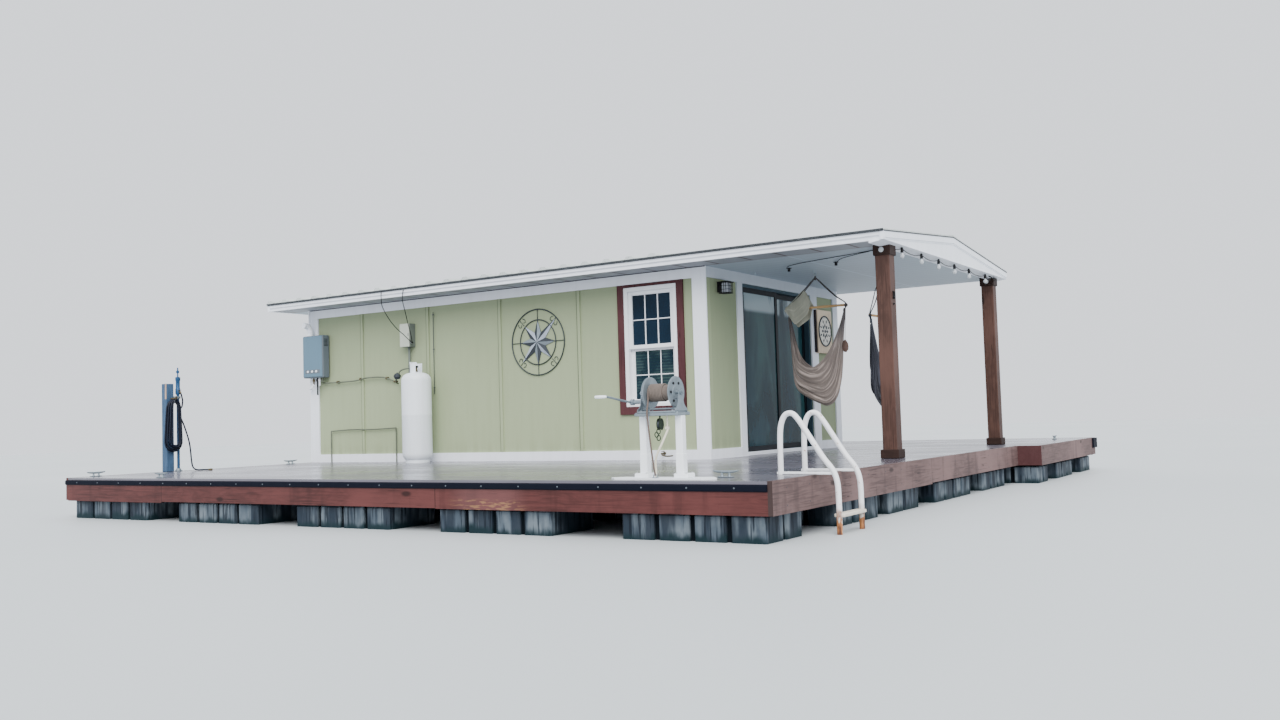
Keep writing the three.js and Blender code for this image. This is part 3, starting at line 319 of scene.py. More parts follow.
# Mesh building
class Shape:
    """Collects vertices and faces, each face with the number of its material."""

    def __init__(self):
        self.points, self.faces, self.paints, self.uvs = [], [], [], []

    def add(self, points, faces, paint=0, uvs=None):
        start = len(self.points)
        self.points += [tuple(point) for point in points]
        self.faces += [tuple(start + i for i in face) for face in faces]
        self.paints += paint if isinstance(paint, list) else [paint] * len(faces)
        self.uvs += uvs or [None] * len(faces)
        return self

    def join(self, other, move=Matrix()):
        """Add another shape, moved by a matrix."""
        return self.add([move @ Vector(point) for point in other.points], other.faces,
            other.paints, other.uvs)

    def box(self, low, high, bevel=0.002, paint=0):
        """A box with chamfered edges."""
        lo, hi = [min(a, b) for a, b in zip(low, high)], [max(a, b) for a, b in zip(low, high)]
        bevel = min(bevel, *[0.45 * (b - a) for a, b in zip(lo, hi)])
        points, index = [], {}
        for corner in range(8):
            for face_axis in range(3):
                insets = [0 if i == face_axis else bevel for i in range(3)]
                index[corner, face_axis] = len(points)
                points.append([hi[i] - insets[i] if (corner >> i) & 1 else lo[i] + insets[i]
                    for i in range(3)])
        faces = []
        for i in range(3):
            j, k = (i + 1) % 3, (i + 2) % 3
            for side in (0, 1):
                ring = [side << i | a << j | b << k for a, b in ((0, 0), (1, 0), (1, 1), (0, 1))]
                quad = [index[corner, i] for corner in ring]
                faces.append(quad if side else quad[::-1])
            for a in (0, 1):
                for b in (0, 1):
                    first, second = a << j | b << k, 1 << i | a << j | b << k
                    quad = [index[first, j], index[second, j], index[second, k], index[first, k]]
                    faces.append(quad if a != b else quad[::-1])
        for corner in range(8):
            turn = [index[corner, i] for i in range(3)]
            faces.append(turn if bin(corner).count("1") % 2 else turn[::-1])
        return self.add(points, faces, paint)

    def prism(self, outline, axis, low, high, paint=0):
        """An outline of (y, z), (z, x) or (x, y) points pushed along x, y or z."""
        first = "xyz".index(axis)
        count = len(outline)
        points = [[(level, a, b)[(i - first) % 3] for i in range(3)] for level in (low, high)
            for a, b in outline]
        area = sum(outline[i - 1][0] * outline[i][1] - outline[i][0] * outline[i - 1][1]
            for i in range(count))
        sides = [(i, (i + 1) % count, (i + 1) % count + count, i + count) for i in range(count)]
        faces = sides + [tuple(range(count))[::-1], tuple(range(count, 2 * count))]
        return self.add(points, faces if area > 0 else [face[::-1] for face in faces], paint)

    def rings(self, rings, paint=0, closed=False, lengths=None):
        """Skin a run of rings of points, each a closed loop, and cap an open run's ends."""
        count = len(rings[0])
        last = len(rings) - (0 if closed else 1)
        lengths = lengths or range(len(rings) + 1)
        faces, uvs = [], []
        for i in range(last):
            a, b = i * count, (i + 1) % len(rings) * count
            for k in range(count):
                faces.append((a + k, a + (k + 1) % count, b + (k + 1) % count, b + k))
                u, v = (lengths[i], lengths[i + 1]), (k / count, (k + 1) / count)
                uvs.append(((u[0], v[0]), (u[0], v[1]), (u[1], v[1]), (u[1], v[0])))
        if not closed:
            faces += [tuple(range(count))[::-1], tuple(range(last * count, (last + 1) * count))]
            uvs += [((0, 0),) * count] * 2
        return self.add([point for ring in rings for point in ring], faces, paint, uvs)

    def tube(self, path, radius, sides=10, paint=0, closed=False):
        """A round tube; radius is one number or one for each point."""
        path = [Vector(point) for point in path]
        radii = radius if isinstance(radius, (list, tuple)) else [radius] * len(path)
        rings, normal = [], None
        for i, point in enumerate(path):
            ahead = path[(i + 1) % len(path)] if closed or i + 1 < len(path) else point
            along = (ahead - (path[i - 1] if closed or i else point)).normalized()
            if normal is None:
                normal = along.orthogonal().normalized()
            normal = (normal - along * normal.dot(along)).normalized()
            side = along.cross(normal)
            rings.append([point + radii[i] * (a * normal + b * side) for a, b in circle(sides)])
        lengths = [0.0]
        for a, b in zip(path, path[1:] + path[:1]):
            lengths.append(lengths[-1] + (b - a).length)
        return self.rings(rings, paint, closed, lengths)

    def turned(self, profile, centre, axis="z", sides=24, paint=0):
        """A profile of (radius, height) turned about an axis; radii of 0 close it."""
        way = Vector([letter == axis for letter in "xyz"])
        across = way.orthogonal().normalized()
        other = way.cross(across)
        return self.rings([[Vector(centre) + way * height + max(radius, LEAST) * (a * across + b * other)
            for a, b in circle(sides)] for radius, height in profile], paint)

    def peg(self, radius, low, high, centre, axis="z", sides=12, paint=0):
        """A plain round bar between two heights."""
        return self.turned([(0, low), (radius, low), (radius, high), (0, high)], centre, axis, sides, paint)

    def head(self, radius, low, high, top, centre, axis="z", sides=6, paint=0):
        """A screw's head: upright from low to high, and domed to its top."""
        return self.turned([(radius, low), (radius, high), (0, top)], centre, axis, sides, paint)

    def mesh(self, name, finishes, smooth=None, weld=0.0):
        mesh = bpy.data.meshes.new(name)
        mesh.from_pydata([at(*point) for point in self.points], [], self.faces)
        for finish in finishes.split():
            mesh.materials.append(FINISHES[finish])
        mesh.polygons.foreach_set("material_index", self.paints)
        corners = [corner for face, uv in zip(self.faces, self.uvs) for corner in uv or ((0, 0),) * len(face)]
        mesh.uv_layers.new(name="UVMap").data.foreach_set("uv",
            [part for corner in corners for part in corner])
        work = bmesh.new()
        work.from_mesh(mesh)
        if weld:
            bmesh.ops.remove_doubles(work, verts=work.verts, dist=weld)
        if len(work.faces) > 1:
            bmesh.ops.recalc_face_normals(work, faces=work.faces)
        work.to_mesh(mesh)
        work.free()
        smooth_faces(mesh, smooth)
        mesh.update()
        return mesh

    def object(self, name, finishes, smooth=None, weld=0.0):
        made = bpy.data.objects.new(name, self.mesh(name, finishes, smooth, weld))
        bpy.context.scene.collection.objects.link(made)
        return made

    def piece(self, name, finishes, smooth=None, slot="", replaces="", body="hull", weld=0.0):
        """Make the object, which rides on its body and takes the slot of its first finish or the one said."""
        return settle(self.object(name, finishes, smooth, weld), slot or finishes.split()[0], replaces, body)


def smooth_faces(mesh, angle):
    if angle:
        mesh.shade_smooth()
        mesh.set_sharp_from_angle(angle=math.radians(angle))


def settle(made, slot, replaces="", body="hull"):
    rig.ride(made, body)
    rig.slot(made, slot)
    if replaces:
        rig.replaces(made, *replaces.split())
    return made


def lay_cord(made, route, digits, diameter, far_end, stiffness, lay, held):
    """Declare a cord that follows a route, its length measured along it."""
    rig.cord(made, exit=at(*route[0]), length=round(run_length(route), digits), diameter=diameter,
        far_end=far_end, stiffness=stiffness, lay=lay, path=[at(*point) for point in route], with_pieces=held)


def run_length(route):
    return sum((b - a).length for a, b in zip(route, route[1:]))


def circle(count, radius=1.0, across=0.0, up=0.0):
    """Points round a circle."""
    turns = (2 * math.pi * k / count for k in range(count))
    return [(across + radius * math.cos(turn), up + radius * math.sin(turn)) for turn in turns]


def curve_points(points, steps=6):
    """A smooth run through the points, as a Catmull-Rom curve."""
    points = [Vector(point) for point in points]
    run = []
    for i in range(len(points) - 1):
        a, b, c, d = (points[min(max(i + k, 0), len(points) - 1)] for k in (-1, 0, 1, 2))
        for step in range(steps):
            t = step / steps
            run.append(0.5 * (2 * b + (c - a) * t + (2 * a - 5 * b + 4 * c - d) * t * t
                + (3 * b - a - 3 * c + d) * t * t * t))
    return run + [points[-1]]


# Geometry Nodes that repeat a mesh in a row or a grid
REPEAT_INPUTS = (("Geometry", "Geometry"), ("Count", "Int"), ("Step", "Vector"), ("Rows", "Int"),
    ("Row Step", "Vector"), ("Wobble", "Float"), ("Seed", "Int"), ("Material", "Material"))


def repeat_tree():
    """Copies of the incoming mesh: Count along Step, Rows along Row Step, each shifted up or down."""
    tree = bpy.data.node_groups.get("Repeat in rows")
    if tree:
        return tree
    tree = bpy.data.node_groups.new("Repeat in rows", "GeometryNodeTree")
    for name, kind in REPEAT_INPUTS:
        tree.interface.new_socket(name, in_out="INPUT", socket_type="NodeSocket" + kind)
    tree.interface.new_socket("Geometry", in_out="OUTPUT", socket_type="NodeSocketGeometry")

    def node(kind, inputs, **settings):
        made = tree.nodes.new(kind)
        for key, value in settings.items():
            setattr(made, key, value)
        for key, value in inputs.items():
            if isinstance(value, float):
                made.inputs[key].default_value = value
            else:
                tree.links.new(value, made.inputs[key])
        return made.outputs[0]

    given = tree.nodes.new("NodeGroupInput").outputs
    line = node("GeometryNodeMeshLine", {"Count": given["Count"], "Offset": given["Step"]})
    row = node("GeometryNodeMeshLine", {"Count": given["Rows"], "Offset": given["Row Step"]})
    grid = node("GeometryNodeInstanceOnPoints", {"Points": row, "Instance": line})
    places = node("GeometryNodeRealizeInstances", {0: grid})
    copies = node("GeometryNodeInstanceOnPoints", {"Points": places, "Instance": given["Geometry"]})
    below = node("ShaderNodeMath", {0: given["Wobble"], 1: -1.0}, operation="MULTIPLY")
    lowest, highest = (node("ShaderNodeCombineXYZ", {"Z": value}) for value in (below, given["Wobble"]))
    shift = node("FunctionNodeRandomValue", {"Min": lowest, "Max": highest, "Seed": given["Seed"]},
        data_type="FLOAT_VECTOR")
    moved = node("GeometryNodeTranslateInstances", {0: copies, "Translation": shift})
    real = node("GeometryNodeRealizeInstances", {0: moved})
    dressed = node("GeometryNodeSetMaterial", {"Geometry": real, "Material": given["Material"]})
    tree.links.new(dressed, tree.nodes.new("NodeGroupOutput").inputs[0])
    return tree


def repeated(shape, name, finish, slot, count, step, rows=1, row_step=(0, 0, 0), wobble=0.0, seed=1,
        smooth=None, replaces="", body="hull"):
    """Repeat a shape with the node tree, and keep the result as one plain piece."""
    tree = repeat_tree()
    made = shape.object(name, finish)
    modifier = made.modifiers.new("Repeat", "NODES")
    modifier.node_group = tree
    named = {item.name: item.identifier for item in tree.interface.items_tree if item.in_out == "INPUT"}
    for key, value in (("Count", count), ("Step", step), ("Rows", rows), ("Row Step", row_step),
            ("Wobble", wobble), ("Seed", seed), ("Material", FINISHES[finish])):
        modifier[named[key]] = value
    made.update_tag()
    made.data = bpy.data.meshes.new_from_object(made.evaluated_get(bpy.context.evaluated_depsgraph_get()))
    made.modifiers.remove(modifier)
    made.data.name = name
    smooth_faces(made.data, smooth)
    return settle(made, slot, replaces, body)


def dress(names, finish):
    """Give CAD nodes of the right shape their finish."""
    for name in names.split():
        materials = frame["nodes"][name].data.materials
        materials.clear()
        materials.append(FINISHES[finish])


# Finishes of this houseboat
# each batten also gets a painted shadow line in the siding's paint
BATTENS = (1.729, 2.949, 4.169, 5.389)   # distance of each batten from the cabin's right end
STEP_FACE = (6.71, (66, 34, 36))         # where the deck steps out on the right, and that board's red


def deck_board_paint(name, start, pitch, colour):
    paint = Paint(name, colour)
    board = ((paint.axis("Y") - (CORNER.y + start)) / pitch).floor()
    tone = paint.node("ShaderNodeTexWhiteNoise", {"noise_dimensions": "1D"}, W=board)
    grain = paint.noise(45, (0.05, 1, 1), detail=6, distortion=0.3)
    worn = paint.noise(0.8, detail=5, shift=(3, 1, 0))
    wet = paint.noise(1.7, (0.5, 1, 1), detail=3)
    paint.coat(tone * 0.55, 0.74)
    paint.coat(grain.over(0.56, 0.12) * 0.5, 0.62)
    paint.coat(worn.over(0.52, 0.14) * 0.45, 1.28)
    paint.finish(0.2 + wet.over(0.5, 0.2) * 0.2, bump=grain, Coat_Weight=0.5, Coat_Roughness=0.16)


def board_paint(name, colour, along="Z", dark=0.42, knots=False, streaks=0.0, worn=None, gloss=0.62,
        joints=(), contrast=1.0, side=False):
    """Stained or weathered sawn wood, its grain along one axis."""
    paint = Paint(name, colour)
    stretch = {"X": (0.04, 1, 1), "Y": (1, 0.04, 1), "Z": (1, 1, 0.04)}[along]

    def stretched(ends, across):
        return [ends(part) if part < 1 else across for part in stretch]

    grain = paint.noise(70, stretch, detail=8, distortion=0.5)
    figure = paint.noise(9, stretched(lambda part: 0.35, 1), distortion=2.2)
    patches = paint.noise(1.1, detail=5, shift=(5, 2, 1))
    paint.coat(figure.over(0.55, 0.2) * 0.6 * contrast, 0.66)
    paint.coat(grain.over(0.56, 0.1) * 0.6 * contrast, dark + 0.15)
    paint.coat(patches.over(0.56, 0.12) * 0.5 * contrast, 1.36)
    cracks = paint.noise(14, stretched(lambda part: part * 0.6, 1.6), 3, (9, 9, 9)).near(0.5, 0.009, 0.004)
    gate = paint.noise(2.4, detail=2, shift=(1, 7, 3)).over(0.55, 0.04)
    paint.coat(cracks * gate * 0.85, 0.22)
    if knots:
        paint.coat(paint.cells(1.7, stretched(lambda part: 0.9, 2.2)).under(0.085, 0.035) * 0.85, 0.2)
    if streaks:
        runs = paint.noise(7, (1, 1, 0.16), detail=6, shift=(2, 2, 2)).over(0.6, 0.06)
        paint.coat(runs * streaks, 0.35)
    if worn:
        place, reach, high, bright = worn
        close = ((paint.axis("X") - place).absolute() / reach).under(0.7, 0.3)
        low = paint.axis("Z").under(high, 0.02)
        scuff = paint.noise(20, (0.5, 1, 2.4), detail=8, shift=(4, 4, 4)).over(0.54, 0.05)
        paint.coat(close * 0.3, tint(srgb(128, 92, 92), 0.8))
        paint.coat(close * low * scuff * 0.4, bright)
    for place in joints:
        paint.coat(paint.axis(along).near(place, 0.0035, 0.0015) * 0.9, 0.12)
    if side:
        place, red = STEP_FACE
        paint.coat(paint.axis("Y").near(CORNER.y + place, 0.006, 0.001) * 0.85, red)
        paint.coat(1 - (paint.axis("Y") - CORNER.y).over(0.003, 0.001), 0.3)
    paint.finish(gloss, bump=grain * 0.6 + figure * 0.4, depth=0.0016, dull=0.18)


def painted(name, colour, gloss=0.5, dirt=0.25, rough=0.0006, dull=None, scale=3.0):
    """Paint or vinyl with faint upright dirt runs and small unevenness."""
    paint = Paint(name, colour)
    runs = paint.noise(scale * 4, (1, 1, 0.12), detail=6)
    cloud = paint.noise(scale * 0.35, shift=(2, 5, 1))
    fine = paint.noise(scale * 60, detail=3)
    paint.coat(runs.over(0.55, 0.16) * dirt, 0.8)
    paint.coat(cloud.over(0.5, 0.25) * 0.35, 0.93)
    paint.finish(gloss + runs * 0.12, bump=fine * 0.5 + runs * 0.5, depth=rough, dull=dull)


def siding_paint(name, colour):
    """The panels' paint, with painted shade darkening it toward the eaves and a painted shadow line beside each
    upright batten.
    """
    paint = Paint(name, colour)
    runs = paint.noise(12, (1, 1, 0.12), detail=6)
    cloud = paint.noise(1.0, shift=(2, 5, 1))
    fine = paint.noise(180, detail=3)
    paint.coat(runs.over(0.55, 0.16) * 0.3, 0.84)
    paint.coat(cloud.over(0.5, 0.25) * 0.35, 0.94)
    high = paint.axis("Z") - CORNER.z
    # painted shade: the siding darkens higher up the wall, toward the eaves
    paint.coat(high.over(1.2, 0.9) * 0.7, 0.74)
    # painted shadow: a dark line beside each batten
    for place in BATTENS:
        paint.coat(paint.axis("X").near(CORNER.x + RIGHT - place - 0.028, 0.01, 0.003) * 0.95, 0.1)
    skirt = high.under(0.2, 0.1)
    paint.coat(skirt * runs.over(0.5, 0.1) * 0.35, 0.7)
    paint.finish(0.62 + runs * 0.12, bump=fine * 0.5 + runs * 0.5, depth=0.0008, dull=0.2)


def shaded_trim_paint(name, colour):
    """The porch wall's white boards, greyed as painted shade toward the ceiling."""
    paint = Paint(name, colour)
    runs = paint.noise(12, (1, 1, 0.12), detail=6)
    high = paint.axis("Z") - CORNER.z
    paint.coat(runs.over(0.55, 0.16) * 0.3, 0.8)
    # painted shade: the boards turn grey upward toward the ceiling
    paint.coat(high.over(1.75, 0.4) * 0.7, (140, 152, 164))
    paint.finish(0.5, bump=runs, depth=0.0006)


def metal(name, colour, gloss=0.5, shine=0.5, spots=0.3):
    """Bare or galvanised metal with dull patches, or paint on metal with chips."""
    paint = Paint(name, colour)
    cloud = paint.noise(6, detail=6)
    paint.coat(paint.cells(40) * 0.4, 0.75)
    paint.coat(cloud.over(0.56, 0.1) * spots, 0.55)
    paint.finish(gloss + cloud * 0.2, bump=paint.noise(160), depth=0.0004, Metallic=shine)


def glass_paint(name, colour):
    """Window glass: dark tint with pale cloudy patches of painted reflection, a slight wave, and the pale slats of a
    blind behind the lower sash under a painted green reflection.
    """
    paint = Paint(name, colour)
    # painted reflection: pale cloudy patches on the glass
    paint.coat(paint.noise(2.2, (0.5, 0.5, 1), detail=3).over(0.5, 0.3), 1.9)
    low = paint.axis("Z").under(CORNER.z + 1.285, 0.01)
    slats = paint.axis("Z").repeat(0.034).over(0.28, 0.12)
    tree_reflection = paint.noise(5, shift=(6, 1, 2)).over(0.48, 0.12)
    # the blind's slats, under a painted green reflection of trees across the lower sash
    paint.coat(low * (0.1 + slats * 0.18), paint.mix(tree_reflection, (28, 58, 46), (96, 124, 112)))
    paint.finish(0.05, bump=paint.noise(1.3, detail=2), depth=0.002, dull=0.12, Alpha=0.94)


def door_glass_paint(name, colour):
    """Dark door glass with muted green patches of painted reflection, darker patches low down, and a pale band of
    painted sky reflection near the top.
    """
    paint = Paint(name, colour)
    room = paint.noise(2.4, (1, 1, 0.22), detail=5, shift=(3, 1, 4), distortion=0.6)
    low_dark_patches = paint.noise(3.2, (1, 1, 0.7), detail=5, shift=(8, 2, 1))
    high = paint.axis("Z") - CORNER.z
    # painted reflection: muted green-teal patches over the glass
    paint.coat(room.over(0.52, 0.14) * 0.6, (60, 98, 98))
    # darker patches low on the glass
    paint.coat(high.under(0.8, 0.5) * low_dark_patches.over(0.5, 0.08) * 0.6, 0.4)
    # painted reflection: a pale band of sky near the top
    paint.coat(high.over(1.72, 0.03) * room.over(0.42, 0.06) * 0.8, (172, 188, 194))
    paint.finish(0.08, bump=paint.noise(1.3, detail=2), depth=0.002, dull=0.08, Alpha=0.96)


def float_paint(name, colour):
    """Chalky moulded plastic, its pale grey darkened as painted shade from the deck above, streaked, and stained
    green-black toward the waterline.
    """
    paint = Paint(name, colour)
    streaks = paint.noise(30, (1, 1, 0.07), detail=6)
    scuffs_and_shade = paint.noise(7, (1, 1, 0.5), detail=7, shift=(3, 3, 3))
    height = paint.axis("Z") - WATERLINE
    ragged = height + (paint.noise(9, (1, 1, 0.4), detail=5, shift=(1, 2, 3)) - 0.5) * 0.16
    wide = paint.noise(6, (1, 1, 0.12), detail=5, shift=(7, 3, 1))
    # darker patches: scuffs, and painted shade from the deck above
    paint.coat(scuffs_and_shade.over(0.5, 0.16) * 0.8, (58, 70, 82))
    paint.coat(wide.over(0.52, 0.06) * 0.85, (24, 34, 46))
    paint.coat(streaks.over(0.57, 0.05) * 0.85, (16, 24, 34))
    paint.coat(ragged.under(0.045, 0.035), (18, 38, 44))
    paint.coat(ragged.under(-0.03, 0.03), (20, 38, 36))
    paint.finish(0.62, bump=scuffs_and_shade, depth=0.003, dull=0.15)


# painted shade: the near-black of the float cores that show in the slots between the ribs
def grime_paint(name, colour):
    paint = Paint(name, colour)
    cloud = paint.noise(6)
    paint.coat(cloud, (24, 30, 36))
    paint.finish(0.8, bump=cloud, depth=0.002, dull=0.0)


def roof_paint(name, colour):
    """White roof metal, darker in patches at the foot of each rib, and a seam in its place over the porch."""
    paint = Paint(name, colour)
    cloud = paint.noise(2.0, (0.4, 1, 1), detail=6)
    specks = paint.noise(40)
    paint.coat(cloud.over(0.5, 0.2) * 0.5, (178, 184, 180))
    paint.coat(specks.over(0.64, 0.04) * 0.5, (120, 126, 120))
    along = paint.axis("X") - (CORNER.x + RIBS["start"])
    away = ((along / RIBS["pitch"] + 0.5).fraction() - 0.5).absolute() * RIBS["pitch"]
    ribbed = paint.axis("X").under(CORNER.x - 2.56, 0.004)
    foot = away.near(0.07, 0.012, 0.008)
    seam = away.under(0.006, 0.003)
    # darker patches at the foot of each rib
    paint.coat(ribbed * foot * cloud.over(0.35, 0.2) * 0.7, (84, 92, 92))
    paint.coat((1 - ribbed) * seam * 0.55, (90, 98, 98))
    paint.finish(0.42, bump=specks, depth=0.0005, Metallic=0.25)


def ceiling_paint(name, colour):
    """Grooved ceiling boards with their lines along the boat, and a faint water stain by the eave."""
    paint = Paint(name, colour)
    groove = paint.axis("Y").repeat(0.178).under(0.034, 0.02)
    outer = paint.axis("Y").under(CORNER.y + 3.545, 0.004)
    cloud = paint.noise(1.4, (0.3, 1, 1), detail=5)
    stain = (paint.axis("Y") - (CORNER.y + 3.535) + (cloud - 0.5) * 0.06).absolute().under(0.012, 0.008)
    joint = paint.axis("X").repeat(1.22).under(0.01, 0.003)
    short = paint.axis("X").repeat(0.406).under(0.042, 0.012)
    paint.coat(cloud.over(0.5, 0.2) * 0.4, 0.86)
    paint.coat(groove * (1 - outer) * 0.4, 0.55)
    paint.coat(joint * (1 - outer) * 0.6, 1.4)
    paint.coat(outer * 0.8, (142, 144, 152))
    paint.coat(short * outer * 0.9, (80, 66, 66))
    paint.coat(stain * 0.7, (104, 84, 80))
    paint.finish(0.5, bump=1 - groove, depth=0.002)


def cloth_paint(name, colour, crease_shading=0.7, ends=None):
    """Coarse cotton: weave on the piece's own UV map, with faded patches, painted shade in its creases and painted
    highlight between them.
    """
    paint = Paint(name, colour)
    warp, weft = ((paint.place(kind="UV").part(letter) * 900.0).fraction() for letter in "XY")
    thread = (warp - 0.5).absolute() + (weft - 0.5).absolute()
    slub = paint.noise(60, (1, 1, 0.2))
    fade = paint.noise(4, detail=5, shift=(1, 1, 1))
    crease = paint.noise(1, (2.2, 34, 1), detail=6, distortion=0.4, kind="UV")
    paint.coat(fade.over(0.5, 0.2) * 0.6, 0.75)
    paint.coat(slub.over(0.58, 0.1) * 0.35, 1.25)
    # painted shade in the creases, and painted highlight on the crests between them
    paint.coat(crease.over(0.46, 0.07) * crease_shading, 0.46)
    paint.coat(crease.under(0.4, 0.05) * crease_shading, 1.5)
    if ends:
        high, yarn = ends
        paint.coat(paint.axis("Z").over(high, 0.16) * 0.8,
            paint.mix(crease.over(0.5, 0.05), yarn, tint(yarn, 0.4)))
    paint.finish(0.92, bump=thread * 0.1 + slub * 0.1 + crease, depth=0.004, dull=0.1, Sheen_Weight=0.25)


def rope_paint(name, colour, twist=160):
    """Laid rope: slanted strands along the piece's own UV map, each darkened toward its edges as painted shade between
    strands.
    """
    paint = Paint(name, colour)
    along, round_it = (paint.place(kind="UV").part(letter) for letter in "XY")
    strand = (along * twist + round_it * 3).fraction()
    ridge = 1 - ((strand - 0.5) * 2).absolute()
    # painted shade: each strand darkens toward the grooves between strands
    paint.base = paint.mix(ridge, 0.5, colour)
    paint.coat(paint.noise(25, detail=5).over(0.52, 0.15) * 0.6, 0.6)
    paint.finish(0.88, bump=ridge, depth=0.0015)


def ladder_paint(name, colour):
    """White painted tube that rusts toward its foot and at scattered chips."""
    paint = Paint(name, colour)
    height = paint.axis("Z") - (CORNER.z - 0.3)
    rust = (height + (paint.noise(16, detail=6) - 0.5) * 0.16).under(0.0, 0.05)
    chips = paint.noise(36, detail=5, shift=(2, 2, 2)).over(0.68, 0.02)
    tone = paint.noise(30, (1, 1, 0.3), detail=5)
    orange = paint.mix(tone.over(0.5, 0.12), (78, 44, 30), (170, 112, 66))
    flakes = paint.noise(22, (1, 1, 0.5), 5, shift=(6, 6, 6)).over(0.56, 0.04)
    orange = paint.mix(flakes * 0.8, orange, (206, 200, 190))
    paint.coat(tone.over(0.55, 0.2) * 0.3, (206, 210, 214))
    paint.coat(chips * 0.7, (160, 110, 80))
    paint.coat(rust, orange)
    paint.finish(0.4 + rust * 0.4, bump=tone, depth=0.0012)


def screw_paint(name, colour):
    paint = Paint(name, colour)
    paint.coat(paint.noise(300, detail=3), (214, 218, 220))
    paint.finish(0.4, Metallic=0.7)


def bulb_paint(name, colour):
    paint = Paint(name, colour)
    paint.coat(paint.noise(30), (232, 234, 236))
    paint.finish(0.06, dull=0.8, Alpha=0.55)


BOARDS = (               # name, colour, grain and how dark its lines are
    # the deck frame and bearers are near black as painted shade under the deck
    ("frame_timber", (66, 58, 52), "Y", 0.42), ("bearer_timber", (34, 32, 34), "Y", 0.42),
    ("pale_board", (222, 202, 176), "Z", 0.62), ("dark_edge", (44, 40, 44), "Z", 0.42),
    ("old_paint", (70, 96, 126), "Z", 0.42), ("pendant_wood", (104, 82, 74), "Z", 0.42),
    ("bare_wood", (198, 170, 150), "Z", 0.42), ("chair_wood", (196, 158, 112), "X", 0.42),
)
ENAMELS = (              # name, colour, gloss, dirt, height of its unevenness, strength of its reflections
    ("edge_rubber", (8, 12, 26), 0.6, 0.5, 0.001, 0.1), ("white_vinyl", (238, 240, 244), 0.35, 0.2, 0.0002),
    ("dark_door_metal", (14, 20, 28), 0.45, 0.2, 0.0006, 0.15), ("lamp_glass", (206, 212, 222), 0.15, 0.1),
    ("blue_door_metal", (52, 74, 86), 0.45, 0.2, 0.0006, 0.15), ("heater_enamel", (88, 118, 138), 0.36, 0.25),
    ("heater_side", (92, 102, 112), 0.4, 0.3), ("tank_paint", (234, 241, 248), 0.32, 0.35, 0.001),
    ("box_enamel", (186, 192, 178), 0.5, 0.35), ("box_side", (104, 112, 106), 0.55, 0.35),
    ("medallion_plaster", (226, 222, 212), 0.6, 0.4), ("stand_paint", (244, 248, 252), 0.4, 0.3, 0.0012),
    ("ladder_tread", (216, 210, 196), 0.6, 0.6), ("cream_pipe", (226, 220, 200), 0.45, 0.4),
)
METALS = (               # name, colour, gloss, shine, dull spots
    ("drip_edge", (70, 74, 78), 0.45), ("black_metal", (24, 24, 28), 0.5, 0.5, 0.2),
    ("pipe_metal", (112, 118, 104), 0.5, 0.5, 0.5), ("brass_fitting", (98, 88, 64), 0.5, 0.5, 0.5),
    ("iron_dark", (62, 68, 74), 0.5, 0.5, 0.4), ("iron_pale", (180, 190, 204), 0.42),
    ("galvanised_steel", (140, 152, 160), 0.42, 0.65, 0.45), ("blue_pipe", (28, 78, 122), 0.4, 0.2),
    ("strip_screw", (96, 104, 112)), ("green_shackle", (44, 58, 44), 0.55, 0.4, 0.5),
)


def mix_paints(colours):
    """Every finish once, by the name of the part of the boat that wears it."""
    for maker, rows in ((board_paint, BOARDS), (painted, ENAMELS), (metal, METALS)):
        for row in rows:
            maker(*row)
    for name, start, _, pitch, _ in DECK_RUNS:
        deck_board_paint(name, start, pitch, colours.deck)
    board_paint("red_stained_board", colours.stain, "X", knots=True, streaks=0.35, gloss=0.5, contrast=1.5,
        worn=(CORNER.x - 2.65, 0.48, CORNER.z - 0.17, (168, 128, 84)),
        joints=(CORNER.x - 7.15, CORNER.x - 3.24))
    board_paint("weathered_board", colours.weathered, "Y", knots=True, streaks=0.4, contrast=1.6,
        joints=(CORNER.y + 3.49,), side=True)
    board_paint("brown_casing", colours.casing)
    board_paint("post_timber", colours.post, knots=True, gloss=0.55, contrast=1.6)
    board_paint("post_block", tint(colours.post, 0.36), "X")
    painted("white_trim", colours.trim, 0.45, 0.3)
    painted("hose_rubber", colours.hose, 0.42, 0.3, dull=0.25, scale=12)
    shaded_trim_paint("white_trim_porch", colours.trim)
    siding_paint("green_siding", colours.siding)
    # painted shade: a darker copy of the siding for the porch wall under the roof
    siding_paint("green_siding_porch", tint(colours.siding, 0.88))
    glass_paint("window_glass", (8, 26, 40))
    door_glass_paint("door_glass", (22, 52, 64))
    # painted shade: the floats' grey is darkened for the shade under the deck
    float_paint("float_shell", (104, 114, 122))
    grime_paint("float_slot", (10, 14, 18))
    roof_paint("roof_sheet", (214, 219, 218))
    ceiling_paint("ceiling_boards", (170, 184, 196))
    ladder_paint("ladder_tube", (236, 237, 240))
    screw_paint("screw_head", (170, 176, 180))
    bulb_paint("bulb_glass", (196, 204, 210))
    rope_paint("wound_rope", (128, 116, 108), 140)
    rope_paint("hanging_rope", (118, 102, 94), 90)
    rope_paint("chair_cord_1", (84, 78, 78))
    rope_paint("chair_cord_2", (62, 72, 84))
    cloth_paint("chair_cloth_1", colours.cloth, ends=(CORNER.z + 1.34, srgb(96, 92, 94)))
    cloth_paint("chair_cloth_2", (72, 74, 84))
    cloth_paint("throw_cloth", (180, 179, 162), crease_shading=0.25)


